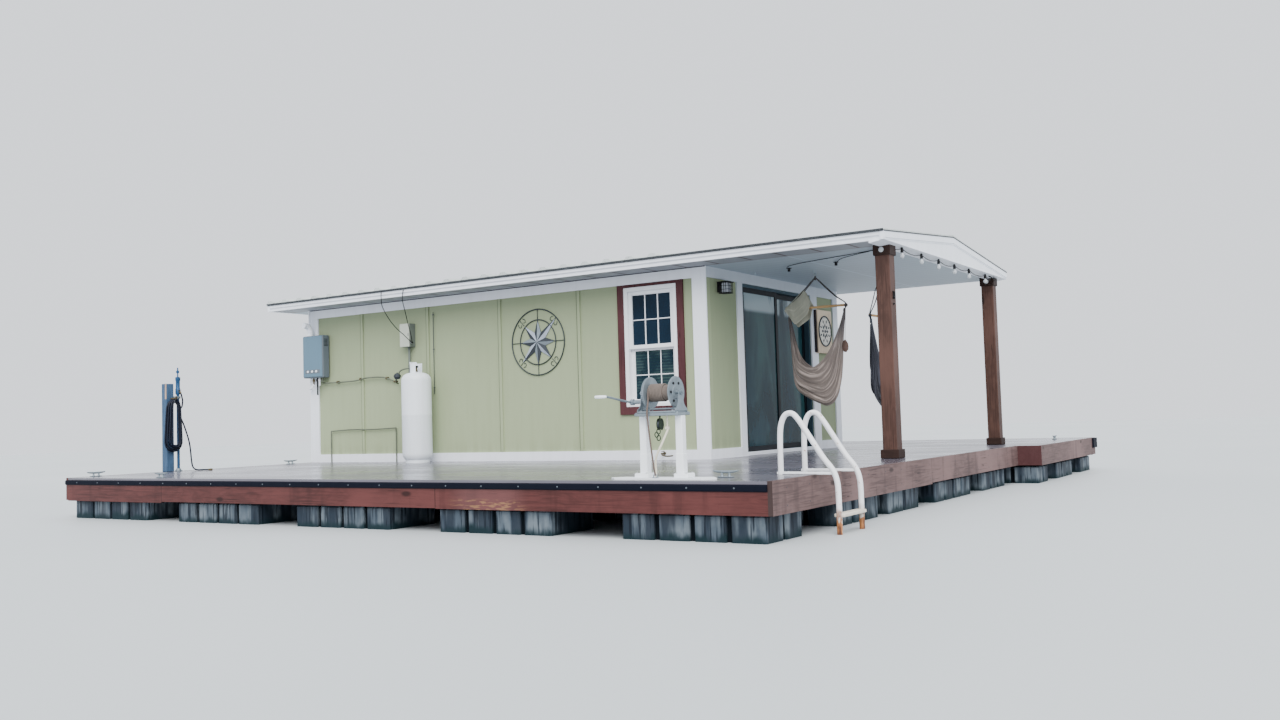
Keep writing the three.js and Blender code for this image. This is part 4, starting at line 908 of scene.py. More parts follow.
# Deck and floats
DECK_RUNS = (            # finish and name, start, number of boards, pitch and right end of each run of boards
    ("deck_boards", 0, 47, 6.748 / 47, -0.0386), ("deck_boards_rear", 6.7486, 22, 3.123 / 22, 0.2384),
)
CLEATS = ((-8.84, 0.3, 90), (-7.3, 0.1, 0), (-0.6, 0.42, 0), (-8.84, 3.1, 90), (-0.12, 9.2, 90),
          (-8.84, 9.2, 90))                                # x, y and turn
FLOAT_COLUMNS = ((-8.83, -7.48), (-6.93, -5.66), (-5.09, -3.85), (-3.24, -2.02), (-1.33, -0.08))
FLOAT_ROWS = (           # near edge, far edge, whether the last column reaches under the extension
    (0.05, 0.65, False), (1.37, 2.23, False), (2.5, 3.3, False), (3.79, 4.99, False),
    (5.46, 6.36, False), (6.75, 7.23, True), (7.69, 8.59, True), (9.11, 9.75, True),
)
FLOAT = {"low": -0.875, "high": -0.255, "slot": 0.034, "slot_width": 0.046, "pitch": 0.31, "reach": 0.22}
BEARER = {"inset": 0.15, "width": 0.14, "high": -0.2173}


def lay_deck():
    sizes = bpy.context.scene.houseboat_sizes
    for name, start, count, pitch, right in DECK_RUNS:
        board = Shape().box((DECK_LEFT + 0.0386, start, -0.027),
            (right, start + pitch - sizes.board_gap, -0.0006), sizes.board_edge)
        repeated(board, name, name, "decking_board", count, (0, pitch, 0), wobble=0.0005, seed=3,
            replaces="" if start else "decking")
    dress("deck_frame", "frame_timber")
    dress("fascia_front fascia_left_rear", "red_stained_board")
    dress("fascia_right", "weathered_board")
    dress("front_bumper corner_bumper", "edge_rubber")
    head = Shape().turned([(0, -0.004), (0.006, -0.003), (0.0075, 0), (0, 0.0002)],
        (-8.7, -0.0142, -0.052), "y", 8)
    repeated(head, "edge_strip_screws", "strip_screw", "galvanised_steel", 22, (0.4, 0, 0))
    nail = Shape().turned([(0, 0.0015), (0.0045, 0.0012), (0.006, 0), (0, -0.0002)], (0, 0.24, -0.06), "x", 8)
    repeated(nail, "fascia_screws", "iron_dark", "weathered_board", 2, (0, 0, -0.13), rows=17,
        row_step=(0, 0.4, 0))


def float_shape(left, right, near, far, outer):
    """One float: a dark core, its near-black a painted shade, with pale upright ribs on each outer side (near, right,
    far, left).
    """
    low, high, deep, gap = FLOAT["low"], FLOAT["high"], FLOAT["slot"], FLOAT["slot_width"] / 2
    shape = Shape().box((left + deep, near + deep, low + 0.01), (right - deep, far - deep, high), 0.02, 1)
    for face, inward, along_x, grooved in zip((near, right, far, left), (1, -1, -1, 1),
            (True, False) * 2, outer):
        start, end = (left, right) if along_x else (near + deep + 0.0005, far - deep - 0.0005)
        slots = max(1, round((end - start) / FLOAT["pitch"]) - 1) if grooved else 0
        marks = [start] + [start + (end - start) * (i + 1) / (slots + 1) for i in range(slots)] + [end]
        inner = face + inward * (deep + 0.01)
        for i, (a, b) in enumerate(zip(marks, marks[1:])):
            a += gap if i else 0
            b -= gap if i + 1 < len(marks) - 1 else 0
            corners = ((a, inner), (b, face)) if along_x else ((inner, a), (face, b))
            shape.box((*corners[0], low), (*corners[1], high), 0.012)
    return shape


def moor_floats():
    last = len(FLOAT_COLUMNS) - 1
    for column, (left, right) in enumerate(FLOAT_COLUMNS):
        shape = Shape()
        for row, (near, far, wide) in enumerate(FLOAT_ROWS):
            edge = FLOAT["reach"] if wide and column == last else right
            outer = (True, column == last, row == len(FLOAT_ROWS) - 1, column == 0)
            shape.join(float_shape(left, edge, near, far, outer))
        for x in (left + BEARER["inset"], right - BEARER["inset"] - BEARER["width"]):
            shape.box((x, FLOAT_ROWS[0][0], FLOAT["high"] - 0.001),
                (x + BEARER["width"], FLOAT_ROWS[-1][1], BEARER["high"]), 0.004, 2)
        shape.piece(f"floats_{column + 1}", "float_shell float_slot bearer_timber", slot="float_plastic",
            replaces=f"float_column_{column + 1}")


def turned_to(x, y, angle):
    return Matrix.Translation((x, y, 0)) @ Matrix.Rotation(angle, 4, "Z")


def set_cleats():
    """Horn cleats screwed to the deck near its edges."""
    horn = curve_points([(-0.11, 0, 0.052), (-0.07, 0, 0.046), (0, 0, 0.043), (0.07, 0, 0.046),
        (0.11, 0, 0.052)])
    swell = [0.005 + 0.006 * math.sin(math.pi * i / (len(horn) - 1)) for i in range(len(horn))]
    cleat = Shape().tube(horn, swell).box((-0.065, -0.022, 0), (0.065, 0.022, 0.008), 0.003)
    for side in (-0.032, 0.032):
        cleat.turned([(0.014, 0.006), (0.009, 0.02), (0.01, 0.044)], (side, 0, 0), "z", 12)
    for number, (x, y, turn) in enumerate(CLEATS, 1):
        moved = Shape().join(cleat, turned_to(x, y, math.radians(turn)))
        moved.piece(f"cleat_{number}", "galvanised_steel", 35)


# Cabin
WINDOW = {"centre": -3.2165, "half": 0.3575, "low": 0.609, "high": 1.985}
SASHES = (               # bottom, top, back, front and rail height of the upper and lower sash
    (1.272, 1.936, -0.045, -0.008, 0.045), (0.643, 1.3, -0.068, -0.047, 0.052),
)


def hang_window(side, face, outward):
    """A double-hung window: outer frame, two sashes with bars, panes and a catch."""
    half, low, high = WINDOW["half"], WINDOW["low"], WINDOW["high"]
    frame_of, panes, catch = Shape(), Shape(), Shape()

    def member(shape, left, right, bottom, top, back, front, bevel=0.003):
        shape.box((WINDOW["centre"] + left, face + outward * back, bottom),
            (WINDOW["centre"] + right, face + outward * front, top), bevel)

    for sign in (-1, 1):
        member(frame_of, sign * half, sign * (half - 0.05), low, high, -0.07, 0.015)
    member(frame_of, -half + 0.049, half - 0.049, high - 0.05, high, -0.07, 0.015)
    member(frame_of, -half + 0.049, half - 0.049, low, low + 0.035, -0.07, 0.02)
    inner = half - 0.1
    for bottom, top, back, front, rail in SASHES:
        for sign in (-1, 1):
            member(frame_of, sign * (half - 0.0505), sign * inner, bottom, top, back, front)
        for foot in (top - rail, bottom):
            member(frame_of, -inner - 0.001, inner + 0.001, foot, foot + rail, back, front)
        lights = (bottom + rail, top - rail)
        for x in (-inner / 3, inner / 3):
            member(frame_of, x - 0.006, x + 0.006, lights[0] - 0.001, lights[1] + 0.001,
                back + 0.004, front - 0.006)
        middle = sum(lights) / 2
        member(frame_of, -inner, inner, middle - 0.006, middle + 0.006, back + 0.0045, front - 0.0065)
    frame_of.piece(f"window_{side}_sashes", "white_vinyl", slot="white_frame",
        replaces=f"window_{side}_frame")
    for bottom, top, depth in ((1.3, 1.91, -0.03), (0.67, 1.27, -0.06)):
        member(panes, -half + 0.08, half - 0.08, bottom, top, depth, depth + 0.004, 0.0005)
    panes.piece(f"window_{side}_panes", "window_glass", slot="clear_glass", replaces=f"window_{side}_glass")
    member(catch, -0.03, 0.03, 1.302, 1.312, -0.046, -0.02, 0.002)
    catch.piece(f"window_{side}_catch", "white_vinyl", slot="white_frame")


def finish_cabin():
    dress("wall_front wall_rear wall_left", "green_siding")
    # the porch wall takes the siding's painted-shade copy
    dress("wall_porch", "green_siding_porch")
    dress("trim_front trim_rear trim_left", "white_trim")
    # the porch trim takes the white trim's painted-shade copy
    dress("trim_porch", "white_trim_porch")
    dress("window_front_casing window_rear_casing", "brown_casing")
    hang_window("front", FRONT, -1)
    hang_window("rear", BACK, 1)
    dress("door_frame", "blue_door_metal")
    dress("door_fixed_leaf door_sliding_leaf", "dark_door_metal")
    dress("door_fixed_glass door_sliding_glass", "door_glass")
    sill = Shape().box((RIGHT - 0.002, 4.41, 0.0006), (RIGHT + 0.022, 6.33, 0.0455), 0.004)
    sill.piece("door_sill", "white_trim")


# Roof and porch
ROOF = {"left": -9.35, "right": -0.26, "near": 3.158, "far": 7.598, "ridge": 2.427, "eave": 2.232}
RIBS = {"start": -9.277, "pitch": 0.303}
RIDGE_Y = (ROOF["near"] + ROOF["far"]) / 2
SLOPE = (ROOF["ridge"] - ROOF["eave"]) / (RIDGE_Y - ROOF["near"])
RAKE_BANDS = (           # height under the sheets, depth, how far it stands out, its finish
    (-0.001, 0.012, 0.0145, 1), (-0.014, 0.062, 0.0105, 0), (-0.079, 0.01, 0.006, 0),
)
POST = {"right": -0.335, "width": 0.15, "near": (("post_near", 3.478), ("post_far", 7.197))}


def under_roof(y):
    return ROOF["ridge"] - SLOPE * abs(y - RIDGE_Y)


def finish_roof():
    left, right, near, far = (ROOF[key] for key in ("left", "right", "near", "far"))
    dress("ceiling", "ceiling_boards")
    dress("eave_near eave_far gable_porch gable_left", "white_trim")
    dress("roof_near roof_far ridge_cap", "roof_sheet")
    drips = Shape()
    for side, y in ((-1, near), (1, far)):
        drips.box((left + 0.004, y + side * 0.013, 2.219), (right - 0.004, y + side * 0.001, 2.2285), 0.002)
        # painted shadow: a dark strip along the front edge of the roof sheets, under the rib ends
        drips.box((left, y + side * 0.0163, 2.23), (right, y + side * 0.0183, 2.2455), 0.0005)
    # a dark strip at the joint of frieze and soffit, darkened as painted shadow in the gap
    drips.box((LEFT - 0.02, FRONT - 0.0265, 2.131), (RIGHT + 0.02, FRONT - 0.0205, 2.1385), 0.0005)
    drips.piece("eave_drip_edges", "drip_edge", slot="roof_metal")
    bands = Shape()
    for x, out in ((right - 0.008, 1.0), (left + 0.008, -0.5)):
        for top, deep, reach, finish in RAKE_BANDS:
            for y in (near + 0.001, far - 0.001):
                edge = [(end, under_roof(end) + top) for end in (y, RIDGE_Y)]
                outline = edge + [(end, high - deep) for end, high in edge[::-1]]
                bands.prism(outline, "x", min(x, x + out * reach), max(x, x + out * reach), finish)
    bands.piece("rake_bands", "white_trim drip_edge")
    strip = Shape().prism([(2.138, -0.42), (2.1385, -0.2625), (2.116, -0.42)], "y", near + 0.002, far - 0.002)
    strip.box((-0.268, near - 0.004, 2.14), (-0.2605, near + 0.05, 2.222), 0.001)
    strip.box((-0.3, near - 0.006, 2.14), (-0.2605, near - 0.0002, 2.222), 0.001)
    strip.piece("porch_end_trim", "white_trim")
    cap = Shape().turned([(0, 0.006), (0.007, 0.0045), (0.009, 0), (0, -0.001)], (0, 0, 0), "z", 8)
    for side, name in ((-1, "near"), (1, "far")):
        for part, start, count, thick in (("ribs", RIBS["start"], 22, 0.052), ("porch", -2.3, 7, 0.014)):
            first = RIDGE_Y + side * 0.35
            lift = thick / math.cos(math.atan(SLOPE))
            moved = Shape().join(cap, Matrix.Translation((start, first, under_roof(first) + lift)))
            repeated(moved, f"roof_screws_{name}_{part}", "screw_head", "roof_metal", count,
                (RIBS["pitch"], 0, 0), rows=4, row_step=(0, side * 0.55, -SLOPE * 0.55))


def stand_post(name, near):
    """A sawn post with chamfered edges, a base block and a bolted cap block."""
    right, far = POST["right"], near + POST["width"]
    left = right - POST["width"]
    shape = Shape().box((left, near, 0.001), (right, far, 2.138), 0.006)
    shape.box((left - 0.02, near - 0.02, 0.0004), (right + 0.02, far + 0.02, 0.09), 0.006, 1)
    shape.box((left - 0.015, near - 0.015, 2.03), (right + 0.015, far + 0.015, 2.1395), 0.007, 1)
    shape.piece(f"{name}_timber", "post_timber post_block", replaces=name)
    bolts = Shape()
    for out in (-1, 1):
        profile = [(0.026, 0), (0.026, 0.004 * out), (0.016, 0.005 * out), (0.014, 0.014 * out),
            (0, 0.015 * out)]
        bolts.turned(profile[::out], (right - 0.075, near + 0.075 + out * 0.09, 2.085), "y", 20)
    bolts.piece(f"{name}_bolts", "screw_head", 30, "galvanised_steel")


def light_porch():
    for name, near in POST["near"]:
        stand_post(name, near)
    fixtures = Shape()
    for z in (1.66, 1.6, 1.54):
        fixtures.turned([(0.012, 0), (0.012, 0.004), (0.006, 0.006), (0.006, 0.016), (0, 0.017)],
            (POST["right"], 3.545, z), "x", 12)
    fixtures.turned([(0.01, -0.03), (0.012, 0), (0.012, 0.035), (0.008, 0.04)],
        (-0.321, 3.545, 1.62), "z", 10)
    fixtures.piece("post_near_fixtures", "black_metal", 30)
    bend = curve_points([(-0.33, 7.23, 2.09), (-0.3, 7.2, 2.12), (-0.29, 7.1, 2.1), (-0.32, 6.95, 2.135)])
    bracket = Shape().tube(bend, 0.008, 8)
    bracket.piece("post_far_bracket", "black_metal", 40)
    lantern = Shape()
    x, y, z = RIGHT + 0.0003, 3.88, 1.85
    for back, front, half, low, high, bevel, finish in ((0, 0.014, 0.045, 0.02, 0.135, 0.004, 0),
            (0.022, 0.16, 0.07, 0.122, 0.132, 0.003, 0), (0.045, 0.137, 0.045, 0.131, 0.14, 0.004, 0),
            (0.03, 0.15, 0.06, 0, 0.008, 0.002, 0), (0.045, 0.135, 0.045, 0.008, 0.122, 0.01, 1)):
        lantern.box((x + back, y - half, z + low), (x + front, y + half, z + high), bevel, finish)
    lantern.tube(curve_points([(x + 0.01, y, z + 0.09), (x + 0.035, y, z + 0.125), (x + 0.06, y, z + 0.13)]),
        0.008, 8)
    for u in range(5):
        for v in range(5):
            if u in (0, 4) or v in (0, 4):
                px, py = x + 0.036 + u * 0.027, y - 0.054 + v * 0.027
                lantern.tube([(px, py, z + 0.006), (px, py, z + 0.124)], 0.0035, 6)
    for high in (0.045, 0.085):
        corners = ((0.036, -0.054), (0.144, -0.054), (0.144, 0.054), (0.036, 0.054))
        lantern.tube([(x + a, y + b, z + high) for a, b in corners], 0.003, 6, closed=True)
    lantern.piece("lantern_cage", "black_metal lamp_glass", replaces="porch_lantern")


BULBS = (3.762, 4.36, 4.93, 5.5, 6.06, 6.741)


def string_lights():
    """The wire hangs in shallow bows between the clips, with a socket and a bulb at each."""
    x, high = -0.3, 2.106
    marks = [(-0.35, 3.6435, high)] + [(x, y, high + 0.01) for y in BULBS] + [(-0.35, 7.1815, high)]
    route = [Vector(marks[0])]
    for a, b in zip(marks, marks[1:]):
        a, b = Vector(a), Vector(b)
        sag = 0.055 * (b - a).length
        for step in range(1, 9):
            share = step / 8
            route.append(a.lerp(b, share) - Vector((0, 0, 4 * sag * share * (1 - share))))
    wire = Shape().tube(route, 0.0045, 8)
    wire = wire.piece("string_light_wire", "black_metal", 40, replaces="string_lights")
    socket = Shape().turned([(0, 0.026), (0.012, 0.024), (0.015, 0.006), (0.016, -0.028), (0, -0.03)],
        (0, 0, 0), "z", 14)
    socket.tube([(0, 0, 0.02), (0, 0, 0.034)], 0.004, 8)
    bulb = Shape().turned([(0.0105, 0), (0.012, -0.008), (0.022, -0.022), (0.025, -0.034), (0.021, -0.047),
        (0.01, -0.056), (0, -0.058)], (0, 0, 0), "z", 16)
    sockets, bulbs = Shape(), Shape()
    for y in BULBS:
        sockets.join(socket, Matrix.Translation((x, y, high - 0.003)))
        bulbs.join(bulb, Matrix.Translation((x, y, high - 0.033)))
    lay_cord(wire, route, 3, 0.009, "object", "medium", "hanging",
        [sockets.piece("string_light_sockets", "black_metal", 35),
        bulbs.piece("string_light_bulbs", "bulb_glass", 60, "clear_glass")])
    lamps = Shape()
    for px, py in ((-1.88, 4.44), (-1.27, 4.36)):
        lamps.turned([(0.03, 0), (0.03, -0.006), (0.016, -0.008), (0.016, -0.04), (0, -0.042)],
            (px, py, 2.14), "z", 16)
        lead = [(px, py, 2.12), (px + 0.2, py - 0.3, 2.13), (-0.6, 3.75, 2.131), (-0.46, 3.6, 2.131)]
        lamps.tube(curve_points(lead), 0.004, 6)
    lamps.piece("ceiling_sockets", "black_metal", 35)


# Fittings on the walls
def hang_heater():
    left, right, low, high = -8.925, -8.525, 1.182, 1.772
    back = FRONT - 0.0205
    shape = Shape().box((left, back - 0.118, low), (right, back, high), 0.008, 1)
    shape.box((left + 0.004, back - 0.13, low + 0.012), (right - 0.012, back - 0.112, high - 0.008), 0.008)
    shape.box((left + 0.05, back - 0.1305, low + 0.06), (right - 0.05, back - 0.1285, low + 0.115), 0.001, 1)
    for i in range(3):
        knob = [(0, -0.026), (0.015, -0.025), (0.02, -0.004), (0, 0.002)]
        shape.turned(knob, (left + 0.11 + i * 0.085, back - 0.114, low + 0.088), "y", 14, 3)
    for i in range(6):
        z = high - 0.06 - i * 0.018
        shape.box((right - 0.0005, back - 0.095, z), (right + 0.0012, back - 0.03, z + 0.008), 0.0004, 2)
    vent = curve_points([(-8.83, back - 0.065, high - 0.01), (-8.83, back - 0.065, high + 0.06),
        (-8.834, back - 0.08, high + 0.112), (-8.842, back - 0.12, high + 0.142),
        (-8.844, back - 0.172, high + 0.15)])
    shape.tube(vent, 0.04, 20, 3)
    for index in (6, 12, 18):
        along = (vent[index + 1] - vent[index]).normalized() * 0.006
        shape.tube([vent[index] - along, vent[index] + along], 0.0435, 20, 3)
    for x, reach, finish in ((-8.705, 0.24, 2), (-8.66, 0.11, 3), (-8.78, 0.09, 4)):
        shape.tube([(x, back - 0.06, low + 0.005), (x, back - 0.06, low - reach)], 0.011, 12, finish)
        shape.peg(0.019, 0.012, -0.02, (x, back - 0.06, low - 0.03), "z", 6, finish)
    shape.tube(curve_points([(-8.78, back - 0.06, low - 0.085), (-8.8, back - 0.07, low - 0.13),
        (-8.86, back - 0.06, low - 0.15), (-8.87, back - 0.02, low - 0.15)]), 0.011, 10, 3)
    shape.tube([(-8.87, back - 0.045, high - 0.02), (-8.87, back - 0.045, 2.138)], 0.015, 12, 3)
    shape.piece("heater_case", "heater_enamel heater_side black_metal white_trim brass_fitting", 35,
        replaces="water_heater")


TANK = (-6.625, 3.28, 0.19)   # x, y and radius


def stand_tank():
    """A tall gas cylinder with its foot ring, welded seam, valve and slotted collar."""
    x, y, r = TANK
    body = [(0, 0.03), (0.12, 0.032), (r - 0.03, 0.045), (r - 0.006, 0.08), (r, 0.12), (r, 0.6),
        (r + 0.0005, 0.603), (r + 0.0005, 0.612), (r, 0.615), (r, 1.055), (r - 0.006, 1.085),
        (r - 0.028, 1.118), (r - 0.065, 1.14), (0.07, 1.153), (0.03, 1.16), (0, 1.16)]
    shape = Shape().turned(body, (x, y, 0), "z", 48)
    shape.turned([(0.15, 0.0005), (0.152, 0.0005), (0.152, 0.06), (0.148, 0.06), (0.148, 0.001)],
        (x, y, 0), "z", 40)
    collar = []
    for k in range(28):
        turn = math.radians(40 + k * 10)
        low, high = 1.148, 1.289 if 9 <= k <= 18 else 1.268
        collar.append([(x + reach * math.cos(turn), y + reach * math.sin(turn), z)
            for reach, z in ((0.074, low), (0.078, high), (0.075, high + 0.002), (0.071, high), (0.07, low))])
    shape.rings(collar)
    shape.turned([(0.026, 1.158), (0.022, 1.18), (0.016, 1.185), (0.016, 1.215), (0, 1.216)],
        (x, y, 0), "z", 16, 1)
    shape.turned([(0, 1.214), (0.028, 1.216), (0.031, 1.226), (0.028, 1.238), (0, 1.24)],
        (x, y, 0), "z", 12, 2)
    shape.tube([(x, y, 1.2), (x - 0.075, y, 1.212)], 0.012, 12, 1)
    shape.piece("tank_shell", "tank_paint brass_fitting black_metal", 32, replaces="gas_tank")


def run_pipes():
    """Gas pipe from the tank's regulator to the heater, and the thin pipes on the wall."""
    wall, x0, y0 = FRONT - 0.03, TANK[0], TANK[1]
    bows = ((-7.19, 1.045), (-7.45, 1.131), (-7.777, 1.139), (-8.03, 1.109), (-8.56, 1.104))
    run = [(x0 - 0.0753, y0, 1.215), (x0 - 0.13, y0, 1.215), (x0 - 0.25, y0 - 0.02, 1.19),
        (-6.94, 3.27, 1.12), (-7.04, 3.33, 1.052), *((x, wall - 0.01, z) for x, z in bows),
        (-8.6, wall - 0.04, 1.125), (-8.6, wall - 0.04, 1.1817)]
    shape = Shape().tube(curve_points(run, 8), 0.009, 12)
    shape.turned([(0, -0.04), (0.03, -0.038), (0.044, -0.014), (0.047, -0.012), (0.047, 0.01), (0.044, 0.012),
        (0.03, 0.034), (0.012, 0.038), (0.01, 0.048), (0, 0.048)], (-6.945, 3.265, 1.12), "z", 24, 1)
    shape.box((-6.985, 3.245, 1.1), (-6.905, 3.285, 1.135), 0.006, 1)
    shape.peg(0.014, -0.03, 0.03, (-7.03, 3.32, 1.057), "x", 8, 2)
    for x, z in ((-7.4, 1.118), (-7.9, 1.128), (-8.35, 1.106)):
        shape.box((x - 0.008, wall - 0.022, z - 0.016), (x + 0.008, wall + 0.0296, z + 0.018), 0.002, 2)
    shape.piece("gas_pipe_run", "pipe_metal iron_dark brass_fitting", 40, replaces="gas_pipe")
    low = [(x, wall, z) for x, z in ((-8.5, 0.43), (-8.1, 0.445), (-7.7, 0.44), (-7.25, 0.452))]
    pipe = Shape().tube(curve_points(low), 0.008)
    for x, y, z in (low[-1], low[0]):
        pipe.tube([(x, y, z), (x, y, 0.001)], 0.008)
    pipe.piece("low_wall_pipe", "pipe_metal", 40)
    wire = Shape().tube([(-6.548, FRONT - 0.026, z) for z in (1.94, 1.3, 0.875)], 0.005, 8)
    for z in (1.9, 1.45, 0.95):
        wire.box((-6.56, FRONT - 0.032, z), (-6.536, FRONT - 0.0185, z + 0.012), 0.002)
    wire.piece("wall_conduit", "drip_edge", 40, "grey_box_metal")
    x = -3.07
    tap = Shape().turned([(0, 0), (0.016, 0), (0.016, -0.02), (0.009, -0.022), (0.009, -0.075), (0, -0.076)],
        (x, FRONT - 0.02, 0.075), "y", 12)
    tap.tube(curve_points([(x, FRONT - 0.09, 0.078), (x + 0.02, FRONT - 0.11, 0.06),
        (x + 0.07, FRONT - 0.1, 0.045), (x + 0.15, FRONT - 0.1, 0.05)]), 0.008, 8)
    tap.turned([(0, 0.028), (0.022, 0.026), (0.022, 0.02), (0, 0.018)], (x, FRONT - 0.06, 0.075), "z", 8)
    tap.piece("wall_tap", "brass_fitting", 40, "pipe_metal")


SUPPLY = {"left": -7.065, "right": -6.893, "low": 1.51, "high": 1.816, "front": 3.44}
GLAND = (-6.893, 3.47, 1.562)
CABLES = (               # each hangs over the eave and down to the gland in the box's side
    ((-7.093, 3.1507, 2.222), (-7.088, 3.1507, 2.072), (-7.076, 3.19, 1.969), (-7.041, 3.25, 1.852),
     (-6.985, 3.31, 1.747), (-6.919, 3.37, 1.663), (-6.874, 3.41, 1.6), (-6.872, 3.47, 1.562)),
    ((-6.695, 3.1507, 2.215), (-6.712, 3.1507, 2.138), (-6.721, 3.165, 2.062), (-6.752, 3.24, 1.928),
     (-6.792, 3.32, 1.805), (-6.825, 3.4, 1.674), (-6.85, 3.448, 1.588), (-6.876, 3.47, 1.562)),
)


def hang_electric_box():
    left, right, low, high, front = SUPPLY.values()
    shape = Shape().box((left, front + 0.012, low), (right, FRONT - 0.0003, high), 0.004, 1)
    shape.box((left, front, low), (right - 0.004, front + 0.014, high), 0.005)
    shape.box((right - 0.022, front - 0.0015, low + 0.14),
        (right - 0.012, front + 0.001, low + 0.18), 0.001, 2)
    x, y = -6.97, FRONT - 0.04
    shape.tube([(x, y, low + 0.004), (x, y, 0.5)], 0.015, 14, 1)
    for z in (low - 0.012, 1.26, 0.9, 0.512):
        shape.peg(0.021, 0.009, -0.009, (x, y, z), "z", 8, 1)
    shape.piece("electric_case", "box_enamel box_side iron_dark", 35, "grey_box_metal",
        replaces="electric_box")
    gland = Shape().turned([(0, 0), (0.016, 0), (0.016, 0.008), (0.012, 0.01), (0.012, 0.032), (0, 0.032)],
        GLAND, "x", 12).piece("cable_gland", "black_metal", 35)
    nut = Shape().peg(0.019, 0.011, 0.017, GLAND, "x", 6).piece("cable_lock_nut", "screw_head",
        35, "black_metal")
    for number, (run, held) in enumerate(zip(CABLES, (gland, nut)), 1):
        route = curve_points(run)
        cable = Shape().tube(route, 0.005, 8).piece(f"eave_cable_{number}", "black_metal", 40)
        lay_cord(cable, route, 3, 0.01, "fitting", "medium", "hanging", [held])


ROSE = {"x": -4.845, "z": 1.443, "outer": 0.41, "inner": 0.28}
STAR = (0.262, 0.395, 0.27, 0.285, 0.262, 0.355, 0.275, 0.285)   # length of each point, from the right


def hang_compass():
    """A wrought compass ornament: two rings, four spokes and a folded eight-pointed star."""
    centre, across, up = Vector((ROSE["x"], FRONT - 0.0005, ROSE["z"])), Vector((1, 0, 0)), Vector((0, 0, 1))

    def spot(angle, radius, out):
        point = centre + across * radius * math.cos(angle) + up * radius * math.sin(angle)
        return point - Vector((0, out, 0))

    outer, inner = ROSE["outer"], ROSE["inner"]
    rings = Shape()
    for radius, thick in ((outer - 0.008, 0.0075), (inner - 0.007, 0.0065)):
        rings.tube([spot(2 * math.pi * i / 72, radius, 0.009) for i in range(72)], thick, 8, closed=True)
    for k in range(4):
        angle = math.pi / 2 * k
        rings.tube([spot(angle, 0.16, 0.007), spot(angle, outer - 0.01, 0.007)], 0.0045, 8)
    for k in range(4):
        angle = math.pi / 4 + math.pi / 2 * k
        middle = (outer + inner) / 2 - 0.004
        for side in (-1, 1):
            curl = []
            for i in range(13):
                share = i / 12
                turn = angle + side * (0.3 + 4.2 * share)
                size = 0.034 * (1 - 0.62 * share)
                start = spot(angle + side * 0.1, middle, 0.006)
                curl.append(start + across * size * math.cos(turn) + up * size * math.sin(turn))
            rings.tube(curl, 0.0038, 6)
        rings.tube([spot(angle, middle - 0.045, 0.006), spot(angle, middle + 0.045, 0.006)], 0.004, 6)
    rings.piece("compass_rings", "iron_dark", 50, "wrought_iron", replaces="compass_rose")
    star = Shape()
    crown, rear = spot(0, 0, 0.034), spot(0, 0, 0.003)
    for k, length in enumerate(STAR):
        angle = math.pi / 4 * k
        (a, c), (d, f) = ([spot(angle + side * math.pi / 8, 0.125, out) for side in (-1, 1)]
            for out in (0.01, 0.003))
        tip, back_tip = spot(angle, length, 0.008), spot(angle, length, 0.003)
        for corners, finish in (((crown, a, tip), 0 if k % 2 else 1), ((crown, tip, c), 2),
                ((rear, back_tip, d), 2), ((rear, f, back_tip), 2), ((a, d, back_tip, tip), 2),
                ((tip, back_tip, f, c), 2)):
            star.add(corners, [range(len(corners))], finish)
    star.piece("compass_star", "iron_pale galvanised_steel iron_dark", slot="wrought_iron", weld=0.0001)


def hang_wall_board():
    """A pale board with a round carved rosette of petals and beads."""
    x0, x1 = RIGHT + 0.0203, RIGHT + 0.06
    near, far, low, high = 6.44, 6.9, 1.266, 1.841
    shape = Shape().box((x0, near, low), (x1, far, high), 0.004)
    shape.box((x0, near - 0.028, low + 0.01), (x1 - 0.012, near - 0.001, high - 0.004), 0.002, 1)
    centre = Vector((x1, (near + far) / 2, 1.56))

    def spot(turn, radius, out):
        return centre + Vector((out, radius * math.cos(turn), radius * math.sin(turn)))

    shape.tube([spot(2 * math.pi * i / 56, 0.199, 0.004) for i in range(56)], 0.0095, 8, 2, closed=True)
    shape.turned([(0.192, -0.001), (0.188, 0.003), (0, 0.0035)], centre, "x", 48, 3)
    for inner, outer, wide, start in ((0.035, 0.112, 0.026, 0), (0.104, 0.17, 0.017, math.pi / 8)):
        for k in range(8):
            turn = start + 2 * math.pi * k / 8
            middle = (inner + outer) / 2
            petal = [spot(turn, inner, 0.003), spot(turn - wide / middle, middle, 0.003),
                spot(turn, outer, 0.003), spot(turn + wide / middle, middle, 0.003),
                spot(turn, middle, 0.012)]
            shape.add(petal, [(0, 1, 4), (1, 2, 4), (2, 3, 4), (3, 0, 4)], 2)
    for k in range(24):
        shape.turned([(0.006, 0.002), (0.004, 0.006), (0, 0.007)],
            spot(2 * math.pi * k / 24, 0.18, 0), "x", 6, 2)
    shape.turned([(0.024, 0.002), (0.02, 0.009), (0, 0.012)], centre, "x", 16, 2)
    shape.piece("rosette_board", "pale_board dark_edge iron_dark medallion_plaster", 30,
        replaces="wall_board")


# Winch
WINCH = {"y": 0.155, "drum": 0.668, "crank": 0.603, "plate": 0.512, "left": -1.165,
    "right": -0.82, "cheek": 0.015}
CHEEK = (                # half the width and the height of a cheek's edge, from foot to top
    (0.093, 0.5262), (0.091, 0.538), (0.067, 0.552), (0.048, 0.572), (0.038, 0.6), (0.032, 0.635),
    (0.028, 0.67), (0.02, 0.688), (0.011, 0.698),
)
FLANGE = ((0.015, 0), (0.05, 0), (0.055, 0.003), (0.1, 0.003), (0.108, 0), (0.119, 0), (0.123, 0.002),
    (0.123, 0.007), (0.119, 0.0095), (0.0151, 0.0095))


